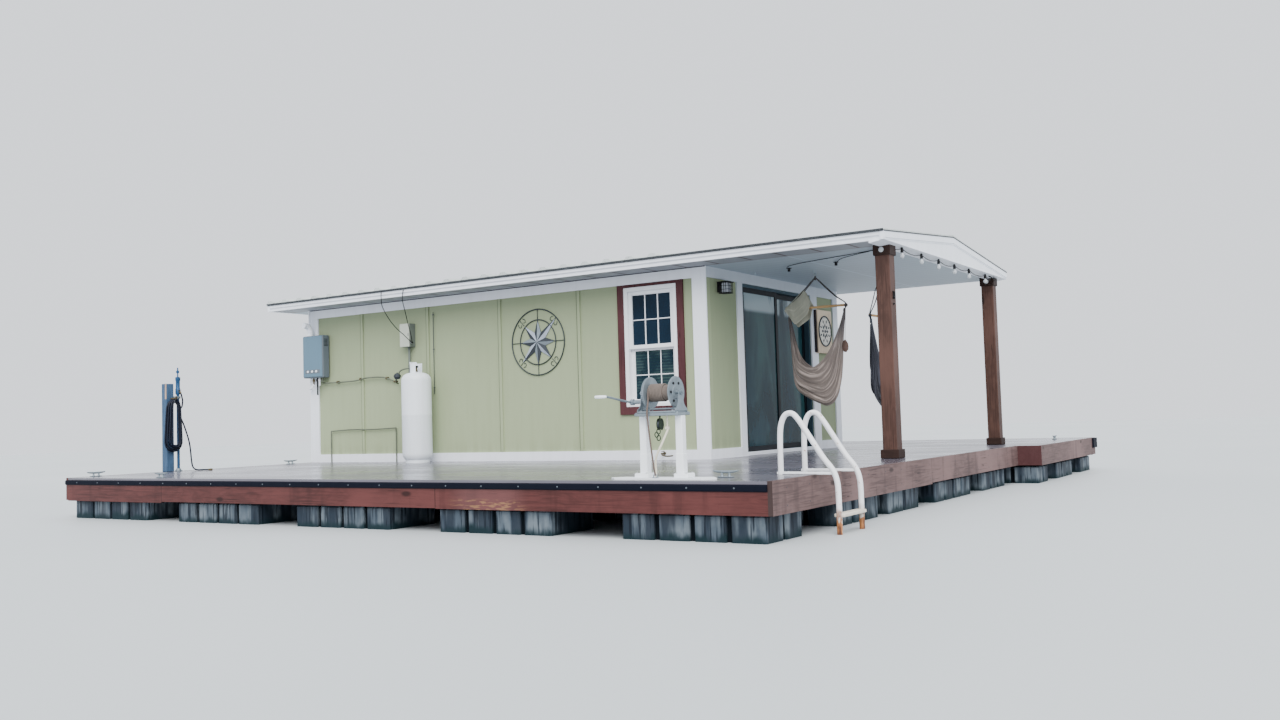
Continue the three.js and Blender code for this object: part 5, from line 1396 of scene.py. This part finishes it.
def build_winch_stand():
    foot = [(-1.4, 0.07), (-0.61, 0.055), (-0.53, 0.15), (-0.61, 0.255), (-1.4, 0.24), (-1.485, 0.155)]
    shape = Shape().prism(foot, "z", 0.0004, 0.014)
    for first, last, left, right in ((-1.228, -1.108, -1.189, -1.129), (-0.872, -0.752, -0.863, -0.803)):
        shape.box((first, 0.095, 0.013), (last, 0.215, 0.048), 0.005)
        shape.box((left - 0.003, 0.122, 0.047), (right + 0.003, 0.188, 0.2), 0.004)
        shape.box((left, 0.125, 0.19), (right, 0.185, 0.491), 0.004)
        for x in (first + 0.015, last - 0.015):
            for y in (0.109, 0.201):
                shape.head(0.009, 0.048, 0.053, 0.056, (x, y, 0), paint=1)
    shape.piece("winch_legs", "stand_paint screw_head", slot="white_steel")
    plate = Shape().box((-1.19, 0.06, 0.49), (-0.8, 0.25, WINCH["plate"]), 0.003)
    for x in (-1.178, -0.812):
        for y in (0.075, 0.235):
            plate.head(0.008, 0.511, 0.518, 0.519, (x, y, 0))
    plate.piece("winch_plate", "galvanised_steel", slot="white_steel", replaces="winch_stand")


def build_winch_frame():
    left, right, y, axle = (WINCH[key] for key in ("left", "right", "y", "drum"))
    shape = Shape().box((left, 0.06, WINCH["plate"] + 0.0003), (right, 0.25, 0.5265), 0.004)
    cheek = [(y - half, z) for half, z in CHEEK] + [(y, 0.702)] + [(y + half, z) for half, z in CHEEK[::-1]]
    for x in (left, right - 0.005):
        shape.prism(cheek, "x", x, x + 0.005)
    for x in (left + 0.03, right - 0.03):
        for sy in (0.075, 0.235):
            shape.head(0.009, 0.526, 0.534, 0.535, (x, sy, 0))
    for x, out in ((left - 0.004, -1), (right + 0.004, 1)):
        shape.turned([(0, -0.01), (0.02, -0.009), (0.022, 0.009), (0, 0.01)], (x, y, axle), "x", 20)
        shape.peg(0.011, -0.006, 0.006, (x + out * 0.012, y, axle), "x", 6)
    shape.tube([(left + 0.003, y - 0.03, 0.543), (right - 0.003, y - 0.03, 0.543)], 0.007, 12)
    shape.prism(circle(20, 0.026, y, WINCH["crank"]), "x", left - 0.014, left + 0.001)
    shape.piece("winch_cheeks", "galvanised_steel", 30, replaces="winch_frame")


def build_drum():
    """The drum with its two flanges and geared rim, wound with two layers of rope."""
    y, axle = WINCH["y"], WINCH["drum"]
    start, end = WINCH["left"] + WINCH["cheek"] + 0.0003, WINCH["right"] - WINCH["cheek"] - 0.0003
    span, centre = end - start, (start, y, axle)
    drum = Shape().peg(0.015, 0, span, centre, "x", 20)
    for place, out in ((0.055, -1), (span - 0.024, 1)):
        drum.turned([(r, place - out * h) for r, h in FLANGE][::-out], centre, "x", 48)
        for a, b in circle(6, 0.077, y, axle):
            drum.turned([(0, -0.003), (0.011, -0.002), (0.011, 0.002), (0, 0.003)],
                (start + place - out * 0.0005, a, b), "x", 10, 1)
    low, high = 0.065, span - 0.034
    drum.peg(0.048, low, high, centre, "x", 24)
    low += 0.0065
    teeth = [circle(96, 0.118 if i % 2 else 0.1225, y, axle)[i] for i in range(96)]
    drum.prism(teeth, "x", start + 0.0435, start + 0.0545)
    drum.turned([(0.0151, 0.003), (0.03, 0.003), (0.03, 0.0434), (0.0151, 0.0434)], centre, "x", 20)
    drum.piece("winch_drum_flanges", "galvanised_steel black_metal", 30, replaces="winch_drum", body="drum")
    for name, radius, last in (("wound_rope", 0.0535, high - 0.0065), ("wound_rope_over", 0.064, 0.6 * span)):
        ring = Shape().tube([(start + low, a, b) for a, b in circle(40, radius, y, axle)],
            0.0062, 8, closed=True)
        count = int((last - low) / 0.0118) + 1
        repeated(ring, name, "wound_rope", "galvanised_steel", count, ((last - low) / (count - 1), 0, 0),
            smooth=50, body="drum")


def build_crank():
    left, y, z = WINCH["left"], WINCH["y"], WINCH["crank"]
    crank = Shape().turned([(0, -0.104), (0.016, -0.104), (0.016, -0.02), (0.02, -0.018), (0.02, -0.0145),
        (0, -0.0145)], (left, y, z), "x", 20)
    x = left - 0.096
    path = [(x, y + 0.01, z), (x - 0.01, y - 0.05, z + 0.004), (x - 0.027, y - 0.14, z + 0.018),
        (x - 0.045, y - 0.23, z + 0.036), (x - 0.055, y - 0.288, z + 0.045)]
    crank.tube(curve_points(path, 5), 0.0085)
    crank.turned([(0, -0.018), (0.024, -0.016), (0.024, 0.012), (0, 0.014)], (x, y, z), "x", 18)
    crank.turned([(0, -0.105), (0.008, -0.104), (0.012, -0.098), (0.0125, -0.05), (0.011, -0.012),
        (0.008, 0.004), (0, 0.005)], path[-1], "x", 16, 1)
    crank.piece("winch_handle", "galvanised_steel stand_paint", 40, replaces="winch_crank", body="crank")


def hang_winch_line():
    """The strand from the drum down to its eye in the plank, and the small block and hose below the plate."""
    x, front = -1.07, WINCH["y"] - 0.077
    route = curve_points([(x, front, 0.672), (x + 0.002, front - 0.006, 0.6), (x + 0.005, 0.048, 0.515),
        (x + 0.012, 0.046, 0.44), (x + 0.022, 0.058, 0.28), (x + 0.03, 0.078, 0.12),
        (x + 0.034, 0.095, 0.032)], 8)
    strand = Shape().tube(route, 0.0068).piece("winch_strand", "hanging_rope", 50, "galvanised_steel")
    eye = Shape().tube([(a, 0.095, b) for a, b in circle(20, 0.016, x + 0.034, 0.026)], 0.004, 8, closed=True)
    eye.box((x + 0.01, 0.081, 0.0142), (x + 0.058, 0.109, 0.018), 0.001)
    lay_cord(strand, route, 3, 0.0136, "fitting", "medium", "hanging",
        [eye.piece("strand_eye", "galvanised_steel", 50)])
    block = Shape()
    x, y = -0.985, 0.105
    for side in (-0.014, 0.012):
        outline = [(y + 0.034 * a, 0.425 + 0.046 * b) for a, b in circle(16)]
        block.prism(outline, "x", x + side, x + side + 0.003)
    block.turned([(0, -0.009), (0.03, -0.009), (0.022, 0), (0.03, 0.009), (0, 0.009)],
        (x, y, 0.425), "x", 20, 1)
    block.tube([(x, y, 0.465), (x, y, 0.4905)], 0.006, 8)
    for across, z in ((-0.012, 0.37), (-0.03, 0.345), (-0.012, 0.32)):
        block.tube([(x + across + 0.016 * a, y - 0.006, z + 0.02 * b) for a, b in circle(16)],
            0.0042, 8, closed=True)
    block.piece("line_block", "green_shackle iron_dark", 40, "galvanised_steel")
    pipe = Shape().tube(curve_points([(-0.932, 0.13, 0.385), (-0.94, 0.12, 0.355), (-0.975, 0.11, 0.28),
        (-1.02, 0.11, 0.2), (-1.045, 0.12, 0.14), (-1.05, 0.13, 0.02)]), 0.0085, 12)
    pipe.turned([(0, -0.016), (0.014, -0.014), (0.014, 0.014), (0, 0.016)], (-0.935, 0.13, 0.395), "x", 12)
    pipe.tube([(-0.935, 0.13, 0.4), (-0.935, 0.13, 0.4905)], 0.006, 8)
    pipe.piece("stand_drain_pipe", "cream_pipe", 40, "white_steel")


# Ladder, utility post and hose
RAIL = (                 # x and height of a ladder rail, from its foot on the deck over the edge and down
    (-0.316, 0.004), (-0.314, 0.25), (-0.303, 0.38), (-0.265, 0.462), (-0.205, 0.476), (-0.15, 0.425),
    (-0.06, 0.29), (0.045, 0.132), (0.118, 0.04), (0.15, -0.04), (0.16, -0.15), (0.16, -0.42), (0.16, -0.84),
)


def fit_ladder():
    shape = Shape()
    x = RAIL[-1][0]
    for y in (0.804, 1.254):
        shape.tube(curve_points([(along, y, z) for along, z in RAIL], 7), 0.022, 20)
        shape.box((-0.345, y - 0.016, 0.0005), (0.128, y + 0.016, 0.022), 0.004)
        shape.head(0.023, 0, 0.03, 0.031, (-0.316, y, 0), sides=16)
        for screw in (-0.25, -0.1, 0.03):
            shape.head(0.0075, 0.022, 0.026, 0.028, (screw, y, 0), paint=2)
    for z in (-0.31, -0.56, -0.81):
        shape.box((x - 0.042, 0.804, z - 0.013), (x + 0.042, 1.254, z + 0.013), 0.005, 1)
        for i in range(5):
            rib = x - 0.034 + i * 0.0155
            shape.box((rib, 0.83, z + 0.0128), (rib + 0.006, 1.228, z + 0.0138), 0.0004, 1)
    shape.piece("ladder_rails", "ladder_tube ladder_tread screw_head", 40, "white_steel",
        replaces="swim_ladder")


def stand_utility_post():
    left, right, near, far, top = -8.93, -8.83, 1.21, 1.31, 1.085
    shape = Shape().box((left, near, 0.0004), (right, far, top), 0.005)
    shape.box((right - 0.03, near - 0.0012, top - 0.19),
        (right - 0.002, near + 0.001, top - 0.004), 0.0004, 1)
    px, py = -8.85, 1.382
    shape.tube([(px, py, 0.0012), (px, py, 1.1)], 0.017, 16, 2)
    shape.turned([(0, 0.95), (0.024, 0.952), (0.03, 0.965), (0.03, 1.02), (0.025, 1.03), (0.025, 1.12),
        (0.03, 1.13), (0.03, 1.165), (0.02, 1.172), (0.008, 1.175), (0.008, 1.286), (0, 1.289)],
        (px, py, 0), "z", 20, 2)
    shape.turned([(0, 0.0005), (0.046, 0.0005), (0.046, 0.01), (0.034, 0.014), (0.026, 0.034), (0, 0.035)],
        (px, py, 0), "z", 20, 3)
    for z in (0.3, 0.9):
        shape.box((px - 0.03, far - 0.002, z), (px + 0.03, py + 0.018, z + 0.03), 0.003, 3)
    shape.tube(curve_points([(px, py - 0.01, 1.06), (px + 0.02, py - 0.02, 1.12),
        (px + 0.03, py - 0.02, 1.2)]), 0.006, 8, 2)
    shape.turned([(0, -0.01), (0.02, -0.008), (0.02, 0.004), (0, 0.006)], (px, py, 1.235), "x", 12, 2)
    shape.tube([(px, py, 0.98), (px + 0.052, py, 0.98), (px + 0.058, py, 0.965)], 0.011, 12, 4)
    shape.turned([(0, 0.03), (0.022, 0.028), (0.022, 0.022), (0, 0.02)], (px + 0.035, py, 0.98), "z", 8, 4)
    peg_y = 1.274
    shape.tube([(right - 0.005, peg_y, 0.9), (right + 0.1, peg_y, 0.902), (right + 0.106, peg_y, 0.925)],
        0.011, 12, 4)
    shape.piece("post_and_standpipe", "old_paint bare_wood blue_pipe galvanised_steel brass_fitting", 35,
        replaces="utility_post")


LOOPS = (                # column, reach, crest and foot of each loop of hose, in the order they are hung
    (0, 0.121, 0.886, 0.372), (1, 0.112, 0.886, 0.35), (2, 0.092, 0.886, 0.38), (3, 0.07, 0.886, 0.358),
    (3, 0.044, 0.864, 0.358), (2, 0.064, 0.864, 0.38), (1, 0.084, 0.864, 0.35), (0, 0.097, 0.864, 0.372),
)
LOOP_STEPS = 28


def hang_hose():
    """The hose leaves the tap, hangs in a hank of eight long loops on its peg, and drops to the deck."""
    x0, y0 = -8.7995, 1.274
    route = [Vector(point) for point in ((-8.7915, 1.382, 0.966), (-8.786, 1.39, 0.93), (-8.788, 1.404, 0.87),
        (x0 + 0.004, y0 + 0.125, 0.79))]
    for now, then in zip(LOOPS, LOOPS[1:] + LOOPS[-1:]):
        for i in range(LOOP_STEPS):
            share = i / LOOP_STEPS
            column, reach, crest, low = (a + (b - a) * share for a, b in zip(now, then))
            top, half_turn = crest - reach, math.pi * reach
            straight = top - low
            run = share * 2 * (half_turn + straight)
            if run < straight:
                y, z = reach, top - run
            elif run < straight + half_turn:
                turn = (run - straight) / reach
                y, z = reach * math.cos(turn), low - reach * math.sin(turn)
            elif run < 2 * straight + half_turn:
                y, z = -reach, low + run - straight - half_turn
            else:
                turn = (run - 2 * straight - half_turn) / reach
                y, z = -reach * math.cos(turn), top + reach * math.sin(turn)
            pinch = 1 - 0.2 * max(0, min(1.0, (z - 0.42) / 0.45))
            route.append(Vector((x0 + 0.0202 * column, y0 + y * pinch, z)))
    drop = [Vector((x0 + x, y0 + y, z)) for x, y, z in ((0.002, 0.083, 0.72), (0.03, 0.14, 0.55),
        (0.085, 0.17, 0.34), (0.095, 0.19, 0.12), (0.11, 0.2, 0.045), (0.16, 0.215, 0.013),
        (0.23, 0.25, 0.0105), (0.3, 0.3, 0.0105))]
    route = curve_points(route[:4], 4)[:-1] + route[4:] + curve_points([route[-1], *drop])[1:]
    hose = Shape().tube(route, 0.009, 12).piece("hose_loops", "hose_rubber", 60, replaces="hose_hank")
    along = (drop[-1] - drop[-2]).normalized()
    nozzle = Shape().tube([drop[-1] + along * out for out in (-0.015, 0, 0.002, 0.03, 0.034)],
        (0.0102, 0.0102, 0.0135, 0.0135, 0.01), 14)
    lay_cord(hose, route, 2, 0.018, "connector", "medium", "coiled",
        [nozzle.piece("hose_coupling", "brass_fitting", 35, "hose_rubber")])


# Hanging chairs
CHAIRS = ((1, -1.72, 4.8, 0, 0), (2, -1.225, 5.6, math.radians(88), 0.1))   # x, y, turn and drop
CHAIR = {"bar": 1.7, "half": 0.385, "ring": 2.0841, "tie": 0.343}
SLING = (                # fold x and z, rim x and z, half the width between rims
    (-0.362, 1.59, -0.343, 1.65, 0.012), (-0.348, 1.46, -0.326, 1.54, 0.022),
    (-0.334, 1.3, -0.306, 1.41, 0.038), (-0.322, 1.12, -0.285, 1.28, 0.055),
    (-0.316, 0.96, -0.262, 1.185, 0.07), (-0.3, 0.83, -0.232, 1.115, 0.082),
    (-0.262, 0.748, -0.19, 1.065, 0.09), (-0.19, 0.697, -0.135, 1.025, 0.095),
    (-0.095, 0.645, -0.075, 1.0, 0.098), (0.0, 0.6, -0.02, 1.005, 0.1), (0.09, 0.572, 0.03, 1.03, 0.1),
    (0.17, 0.615, 0.078, 1.07, 0.096), (0.232, 0.72, 0.125, 1.12, 0.088), (0.27, 0.86, 0.17, 1.19, 0.076),
    (0.292, 1.02, 0.212, 1.27, 0.062), (0.308, 1.18, 0.25, 1.36, 0.048), (0.322, 1.33, 0.288, 1.46, 0.034),
    (0.338, 1.47, 0.318, 1.56, 0.022), (0.355, 1.59, 0.343, 1.65, 0.012),
)
GATHERS = (              # share of the fold depth, waves across the cloth, drift and start of each set
    (0.5, 16.0, 2.6, 0.4), (0.28, 29.0, -4.0, 1.3), (0.22, 47.0, 5.5, 2.1),
)
THROW = ((-0.385, 1.69), (-0.325, 1.6), (-0.253, 1.512), (-0.175, 1.565), (-0.096, 1.618), (-0.052, 1.755))


def cloth_normal(rows, i, k):
    """The way a cloth faces at one of its points."""
    along = rows[min(i + 1, len(rows) - 1)][k] - rows[max(i - 1, 0)][k]
    side = rows[i][min(k + 1, len(rows[i]) - 1)] - rows[i][max(k - 1, 0)]
    return along.cross(side).normalized()


def cloth_mesh(rows, thick):
    """A sheet of cloth from a grid of points, its UV map in metres; also its area and its length."""
    count, across = len(rows), len(rows[0])
    points = [point + cloth_normal(rows, i, k) * thick * side / 2 for side in (1, -1)
        for i, row in enumerate(rows) for k, point in enumerate(row)]
    lengths, widths = ([run_length(line[:i + 1]) for i in range(len(line))]
        for line in ([row[across // 2] for row in rows], rows[count // 2]))
    layer = count * across
    faces = []
    for first in range(layer - across):
        if (first + 1) % across:
            quad = [first, first + across, first + across + 1, first + 1]
            faces += [quad, [layer + i for i in quad[::-1]]]
    edge = [*range(0, layer, across), *range(layer - across + 1, layer),
        *range(layer - across - 1, 0, -across), *range(across - 2, 0, -1)]
    faces += [[b, a, layer + a, layer + b] for a, b in zip(edge, edge[1:] + edge[:1])]
    where = [(long, wide) for long in lengths for wide in widths]
    shape = Shape().add(points, faces, 0, [[where[i % layer] for i in face] for face in faces])
    area = sum(((b - a).cross(d - a).length + (d - c).cross(b - c).length) / 2
        for row, after in zip(rows, rows[1:]) for a, b, c, d in zip(row, after, after[1:], row[1:]))
    return shape, area, lengths[-1]


def sling_rows(depth):
    """The cloth's base surface from its stations, with gathers that run from one tie to the other."""
    folds = curve_points([station[:3] for station in SLING])
    rims = curve_points([(*station[3:], 0) for station in SLING])
    across = [2 * k / 96 - 1 for k in range(97)]
    flat = [[Vector((fold_x + (rim_x - fold_x) * v ** 2, v * half, fold_z + (rim_z - fold_z) * v ** 2))
        for v in across] for (fold_x, fold_z, rim_x), (rim_z, half, _) in zip(folds, rims)]
    rows = []
    for i, row in enumerate(flat):
        s = i / (len(flat) - 1)
        room = min(1.0, rims[i].y / 0.09) ** 1.5
        rows.append([])
        for k, (v, point) in enumerate(zip(across, row)):
            wave = sum(part * math.sin(waves * v + drift * math.sin(3.1 * s + 2.0 * v) + start)
                for part, waves, drift, start in GATHERS)
            sag = 0.35 * math.sin(7.0 * s + 5.0 * v + 0.6)
            lift = depth * room * (wave + sag) * (1 - 0.45 * abs(v) ** 8)
            rows[-1].append(point + cloth_normal(flat, i, k) * lift)
    return rows


def hang_chair(number, x, y, turn, drop):
    move = turned_to(x, y, turn)
    half, tie, ring = CHAIR["half"], CHAIR["tie"], CHAIR["ring"]
    bar, knot = CHAIR["bar"] - drop, ring - 0.029
    yarn = f"chair_cord_{number}"

    def made(shape, name, *looks, **others):
        return Shape().join(shape, move).piece(f"chair_{number}_{name}", *looks,
            body=f"chair_{number}", **others)

    wood = Shape().tube([(x, 0, bar) for x in (-half, -half + 0.006, half - 0.006, half)],
        (0.011, 0.014, 0.014, 0.011), 20)
    wood.tube([(0, *place) for place in circle(24, 0.0175, 0, ring)], 0.0033, 10, 1, closed=True)
    made(wood, "spreader", "chair_wood galvanised_steel", 50, replaces=f"chair_{number}_bar")
    knots = Shape().turned([(0, -0.04), (0.009, -0.038), (0.013, -0.02), (0.012, 0), (0.008, 0.012),
        (0, 0.014)], (0, 0, knot), "z", 14)
    for side in (-1, 1):
        knots.turned([(0, -0.022), (0.016, -0.018), (0.021, -0.004), (0.02, 0.008), (0.012, 0.02),
            (0, 0.022)], (side * (half - 0.018), 0, bar - 0.002), "z", 14)
        knots.turned([(0, -0.034), (0.01, -0.03), (0.0145, -0.006), (0.013, 0.014), (0.008, 0.026),
            (0, 0.028)], (side * tie, 0, bar - 0.062), "z", 14)
    knotted = made(knots, "knots", yarn, 50, "chair_cloth")
    for side, name in ((-1, "left"), (1, "right")):
        for apart, strand in ((-0.0065, "front"), (0.0065, "back")):
            route = curve_points([(side * out, apart * wide, z)
                for out, wide, z in ((0.005, 1, knot - 0.01), (0.11, 2.8, knot - 0.115),
                (0.24, 2.8, knot - 0.24 - drop * 0.6), (0.35, 1, bar + 0.036), (0.368, 1, bar),
                (0.358, 1, bar - 0.03), (tie, 0.8, bar - 0.058))], 5)
            cord = made(Shape().tube(route, 0.0062, 8), f"cord_{name}_{strand}", yarn, 50, "chair_cloth")
            lay_cord(cord, [move @ point for point in route], 3, 0.0124, "knot", "limp", "taut", [])
    rows = sling_rows(bpy.context.scene.houseboat_sizes.sling_fold)
    shape, area, long = cloth_mesh([[point - Vector((0, 0, drop)) for point in row] for row in rows], 0.003)
    cloth = made(shape, "cloth", f"chair_cloth_{number}", 70, "chair_cloth", replaces=f"chair_{number}_sling")
    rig.sheet(cloth, flat=(round(area / long, 3), round(long, 3)), held="hung", rests_on=[knotted])
    if number == 1:
        hang_throw(made)


def hang_throw(made):
    """The small cloth over the left cord, and the wooden pendant."""
    feet = [Vector((x, 0, z)) for x, z in THROW]
    throw = []
    for i in range(25):
        s = i / 24
        ridge = Vector((-0.378, 0, 1.722)).lerp(Vector((-0.15, 0, 1.914)), s)
        place = s * (len(feet) - 1)
        index = min(int(place), len(feet) - 2)
        foot = feet[index].lerp(feet[index + 1], place - index)
        throw.append([])
        for k in range(33):
            t = 2 * k / 32 - 1
            share = abs(t) ** 1.15
            point = ridge.lerp(foot, share)
            spread = 0.02 * math.tanh(abs(t) * 9) + 0.022 * share
            fold = 0.007 * math.sin(15 * s + 4 * t) * share
            point.y = math.copysign(spread + fold, t) if t else 0
            point.z += 0.009 * (1 - share) - (0.03 * share if t > 0 else 0)
            throw[-1].append(point)
    shape, area, long = cloth_mesh(throw, 0.004)
    draped = made(shape, "throw", "throw_cloth", 70, "chair_cloth")
    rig.sheet(draped, flat=(round(long, 3), round(area / long, 3)), held="draped",
        rests_on=["chair_1_spreader"])
    cup = Shape().tube([(0.362, 0, 1.69), (0.35, 0, 1.5), (0.338, 0, 1.3)], 0.0025, 6)
    cup.turned([(0, 0), (0.014, 0), (0.02, 0.012), (0.034, 0.028), (0.038, 0.06), (0.034, 0.095),
        (0.022, 0.12), (0.012, 0.132), (0.01, 0.14), (0, 0.142)], (0.338, 0, 1.16), "z", 20, 1)
    made(cup, "pendant", "chair_cord_1 pendant_wood", 45, "chair_wood")


# Camera, light and floor
def set_stage(colours):
    scene = bpy.context.scene
    pale = Paint("pale_floor", (0.52, 0.56, 0.58, 1))
    pale.coat(pale.noise(0.15, detail=2), (0.6, 0.64, 0.66, 1))
    pale.finish(0.5)
    reach, low = 60.0, WATERLINE - CORNER.z
    floor = Shape().add([(-reach, -reach, low), (reach, -reach, low), (reach, reach, low),
        (-reach, reach, low)], [(0, 1, 2, 3)])
    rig.stage(floor.object("floor", "pale_floor"))

    world = bpy.data.worlds.new("Soft sky")
    world.use_nodes = True
    sky = world.node_tree.nodes["Background"]
    sky.inputs["Color"].default_value = (0.9, 0.94, 1.0, 1.0)
    sky.inputs["Strength"].default_value = colours.sky_strength
    scene.world = world

    lamp = bpy.data.lights.new("Key", "SUN")
    lamp.energy, lamp.angle, lamp.color = colours.key_strength, math.radians(50), (1.0, 0.98, 0.95)
    key = bpy.data.objects.new("Key", lamp)
    key.rotation_euler = Vector((-0.55, 0.75, -0.9)).to_track_quat("-Z", "Y").to_euler()
    scene.collection.objects.link(key)

    camera = bpy.data.cameras.new("Photograph view")
    camera.sensor_width, camera.lens = 36.0, 31.381
    camera.clip_end = 300
    yaw, pitch, roll = (math.radians(angle) for angle in (32.847, 3.01, -1.788))
    forward = Vector((-math.sin(yaw) * math.cos(pitch), math.cos(yaw) * math.cos(pitch), math.sin(pitch)))
    right = Vector((math.cos(yaw), math.sin(yaw), 0))
    up = right.cross(forward)
    side, top = right * math.cos(roll) + up * math.sin(roll), up * math.cos(roll) - right * math.sin(roll)
    viewer = bpy.data.objects.new("Photograph view", camera)
    viewer.matrix_world = Matrix((side, top, -forward)).transposed().to_4x4()
    viewer.location = at(3.551, -7.176, 0.472)
    scene.collection.objects.link(viewer)
    scene.camera = viewer


# Settings, operators and panel
def colour_setting(name, description, *screen):
    return bpy.props.FloatVectorProperty(name=name, description=description, default=srgb(*screen), size=4,
        min=0, max=1, subtype="COLOR")


def size_setting(name, description, default, low, high):
    return bpy.props.FloatProperty(name=name, description=description, default=default, min=low,
        max=high, unit="LENGTH")


class HouseboatColours(bpy.types.PropertyGroup):
    """Colours and light that a user would change"""
    siding: colour_setting("Siding", "Paint of the cabin's panels", 159, 171, 138)
    trim: colour_setting("Trim", "Paint of the corner boards, eaves and ceiling", 240, 244, 252)
    casing: colour_setting("Casing", "Paint of the boards round the windows", 78, 45, 48)
    stain: colour_setting("Front boards", "Stain of the front fascia boards", 84, 46, 44)
    weathered: colour_setting("Side boards", "Faded stain of the side fascia boards", 105, 84, 82)
    post: colour_setting("Posts", "Stain of the porch posts", 80, 57, 50)
    deck: colour_setting("Deck", "Colour of the deck boards", 90, 87, 98)
    cloth: colour_setting("Chair cloth", "Cotton of the hanging chairs", 158, 145, 138)
    hose: colour_setting("Hose", "Rubber of the hose", 14, 20, 38)
    sky_strength: bpy.props.FloatProperty(name="Sky", description="Strength of the soft sky light",
        default=1.5, min=0)
    key_strength: bpy.props.FloatProperty(name="Key light", description="Strength of the main light",
        default=4.4, min=0)


class HouseboatSizes(bpy.types.PropertyGroup):
    """Sizes that a user would change"""
    board_gap: size_setting("Deck gap", "Gap between two deck boards", 0.005, 0.001, 0.02)
    board_edge: size_setting("Deck board edge", "Rounding of a deck board's edge", 0.003, 0.0005, 0.01)
    sling_fold: size_setting("Chair folds", "Depth of the folds in a chair's cloth", 0.02, 0.0, 0.04)


class HouseboatStage(bpy.types.Operator):
    """Set the camera, the soft light and the pale floor at the waterline"""
    bl_idname = "houseboat.stage"
    bl_label = "Stage"

    def execute(self, context):
        set_stage(context.scene.houseboat_colours)
        return {"FINISHED"}


class HouseboatPaints(bpy.types.Operator):
    """Mix every paint, stain, metal and cloth"""
    bl_idname = "houseboat.paints"
    bl_label = "Paints"

    def execute(self, context):
        mix_paints(context.scene.houseboat_colours)
        return {"FINISHED"}


class HouseboatHose(bpy.types.Operator):
    """Stand the utility post and hang the hose on it"""
    bl_idname = "houseboat.hose"
    bl_label = "Utility post and hose"

    def execute(self, context):
        stand_utility_post()
        hang_hose()
        return {"FINISHED"}


class HouseboatPorch(bpy.types.Operator):
    """Stand the posts and hang the lantern and the string lights"""
    bl_idname = "houseboat.porch"
    bl_label = "Porch"

    def execute(self, context):
        light_porch()
        string_lights()
        return {"FINISHED"}


class HouseboatWinch(bpy.types.Operator):
    """Build the hand winch with its rope"""
    bl_idname = "houseboat.winch"
    bl_label = "Winch"

    def execute(self, context):
        build_winch_stand()
        build_winch_frame()
        build_drum()
        build_crank()
        hang_winch_line()
        return {"FINISHED"}


class HouseboatDeck(bpy.types.Operator):
    """Lay the deck boards, finish the fascia boards and screw on the cleats"""
    bl_idname = "houseboat.deck"
    bl_label = "Deck"

    def execute(self, context):
        lay_deck()
        set_cleats()
        return {"FINISHED"}


class HouseboatFloats(bpy.types.Operator):
    """Set the ribbed floats under the deck"""
    bl_idname = "houseboat.floats"
    bl_label = "Floats"

    def execute(self, context):
        moor_floats()
        return {"FINISHED"}


class HouseboatCabin(bpy.types.Operator):
    """Paint the walls and trim, and hang the windows and the door"""
    bl_idname = "houseboat.cabin"
    bl_label = "Cabin"

    def execute(self, context):
        finish_cabin()
        return {"FINISHED"}


class HouseboatRoof(bpy.types.Operator):
    """Finish the roof sheets, eaves and gables"""
    bl_idname = "houseboat.roof"
    bl_label = "Roof"

    def execute(self, context):
        finish_roof()
        return {"FINISHED"}


class HouseboatFittings(bpy.types.Operator):
    """Hang the heater, gas tank, pipes, electric box, compass and wall board"""
    bl_idname = "houseboat.fittings"
    bl_label = "Wall fittings"

    def execute(self, context):
        hang_heater()
        stand_tank()
        run_pipes()
        hang_electric_box()
        hang_compass()
        hang_wall_board()
        return {"FINISHED"}


class HouseboatLadder(bpy.types.Operator):
    """Bend the swim ladder"""
    bl_idname = "houseboat.ladder"
    bl_label = "Swim ladder"

    def execute(self, context):
        fit_ladder()
        return {"FINISHED"}


class HouseboatChairs(bpy.types.Operator):
    """Hang the two cloth chairs on their hooks"""
    bl_idname = "houseboat.chairs"
    bl_label = "Hanging chairs"

    def execute(self, context):
        for chair in CHAIRS:
            hang_chair(*chair)
        return {"FINISHED"}


STEPS = (HouseboatStage, HouseboatPaints, HouseboatHose, HouseboatPorch, HouseboatWinch, HouseboatDeck,
    HouseboatFloats, HouseboatCabin, HouseboatRoof, HouseboatFittings, HouseboatLadder, HouseboatChairs)


class HouseboatPanel(bpy.types.Panel):
    """Lists the settings and the steps"""
    bl_label = "Houseboat"
    bl_idname = "VIEW3D_PT_houseboat"
    bl_space_type = "VIEW_3D"
    bl_region_type = "UI"
    bl_category = "Houseboat"

    def draw(self, context):
        for group in (context.scene.houseboat_colours, context.scene.houseboat_sizes):
            for name in group.__annotations__:
                self.layout.prop(group, name)
        for step in STEPS:
            self.layout.operator(step.bl_idname)


CLASSES = (HouseboatColours, HouseboatSizes, *STEPS, HouseboatPanel)


def register():
    for made in CLASSES:
        bpy.utils.register_class(made)
    bpy.types.Scene.houseboat_colours = bpy.props.PointerProperty(type=HouseboatColours)
    bpy.types.Scene.houseboat_sizes = bpy.props.PointerProperty(type=HouseboatSizes)


def unregister():
    del bpy.types.Scene.houseboat_sizes
    del bpy.types.Scene.houseboat_colours
    for made in reversed(CLASSES):
        bpy.utils.unregister_class(made)


def main():
    register()
    for step in STEPS:
        group, name = step.bl_idname.split(".")
        getattr(getattr(bpy.ops, group), name)()
    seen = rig.bounds()
    sizes = {"cad": [list(CAD_BOX[0]), list(CAD_BOX[1])], "visual": [list(seen[0]), list(seen[1])]}
    with open("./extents.json", "w") as out:
        json.dump(sizes, out)


if __name__ == "__main__":
    main()
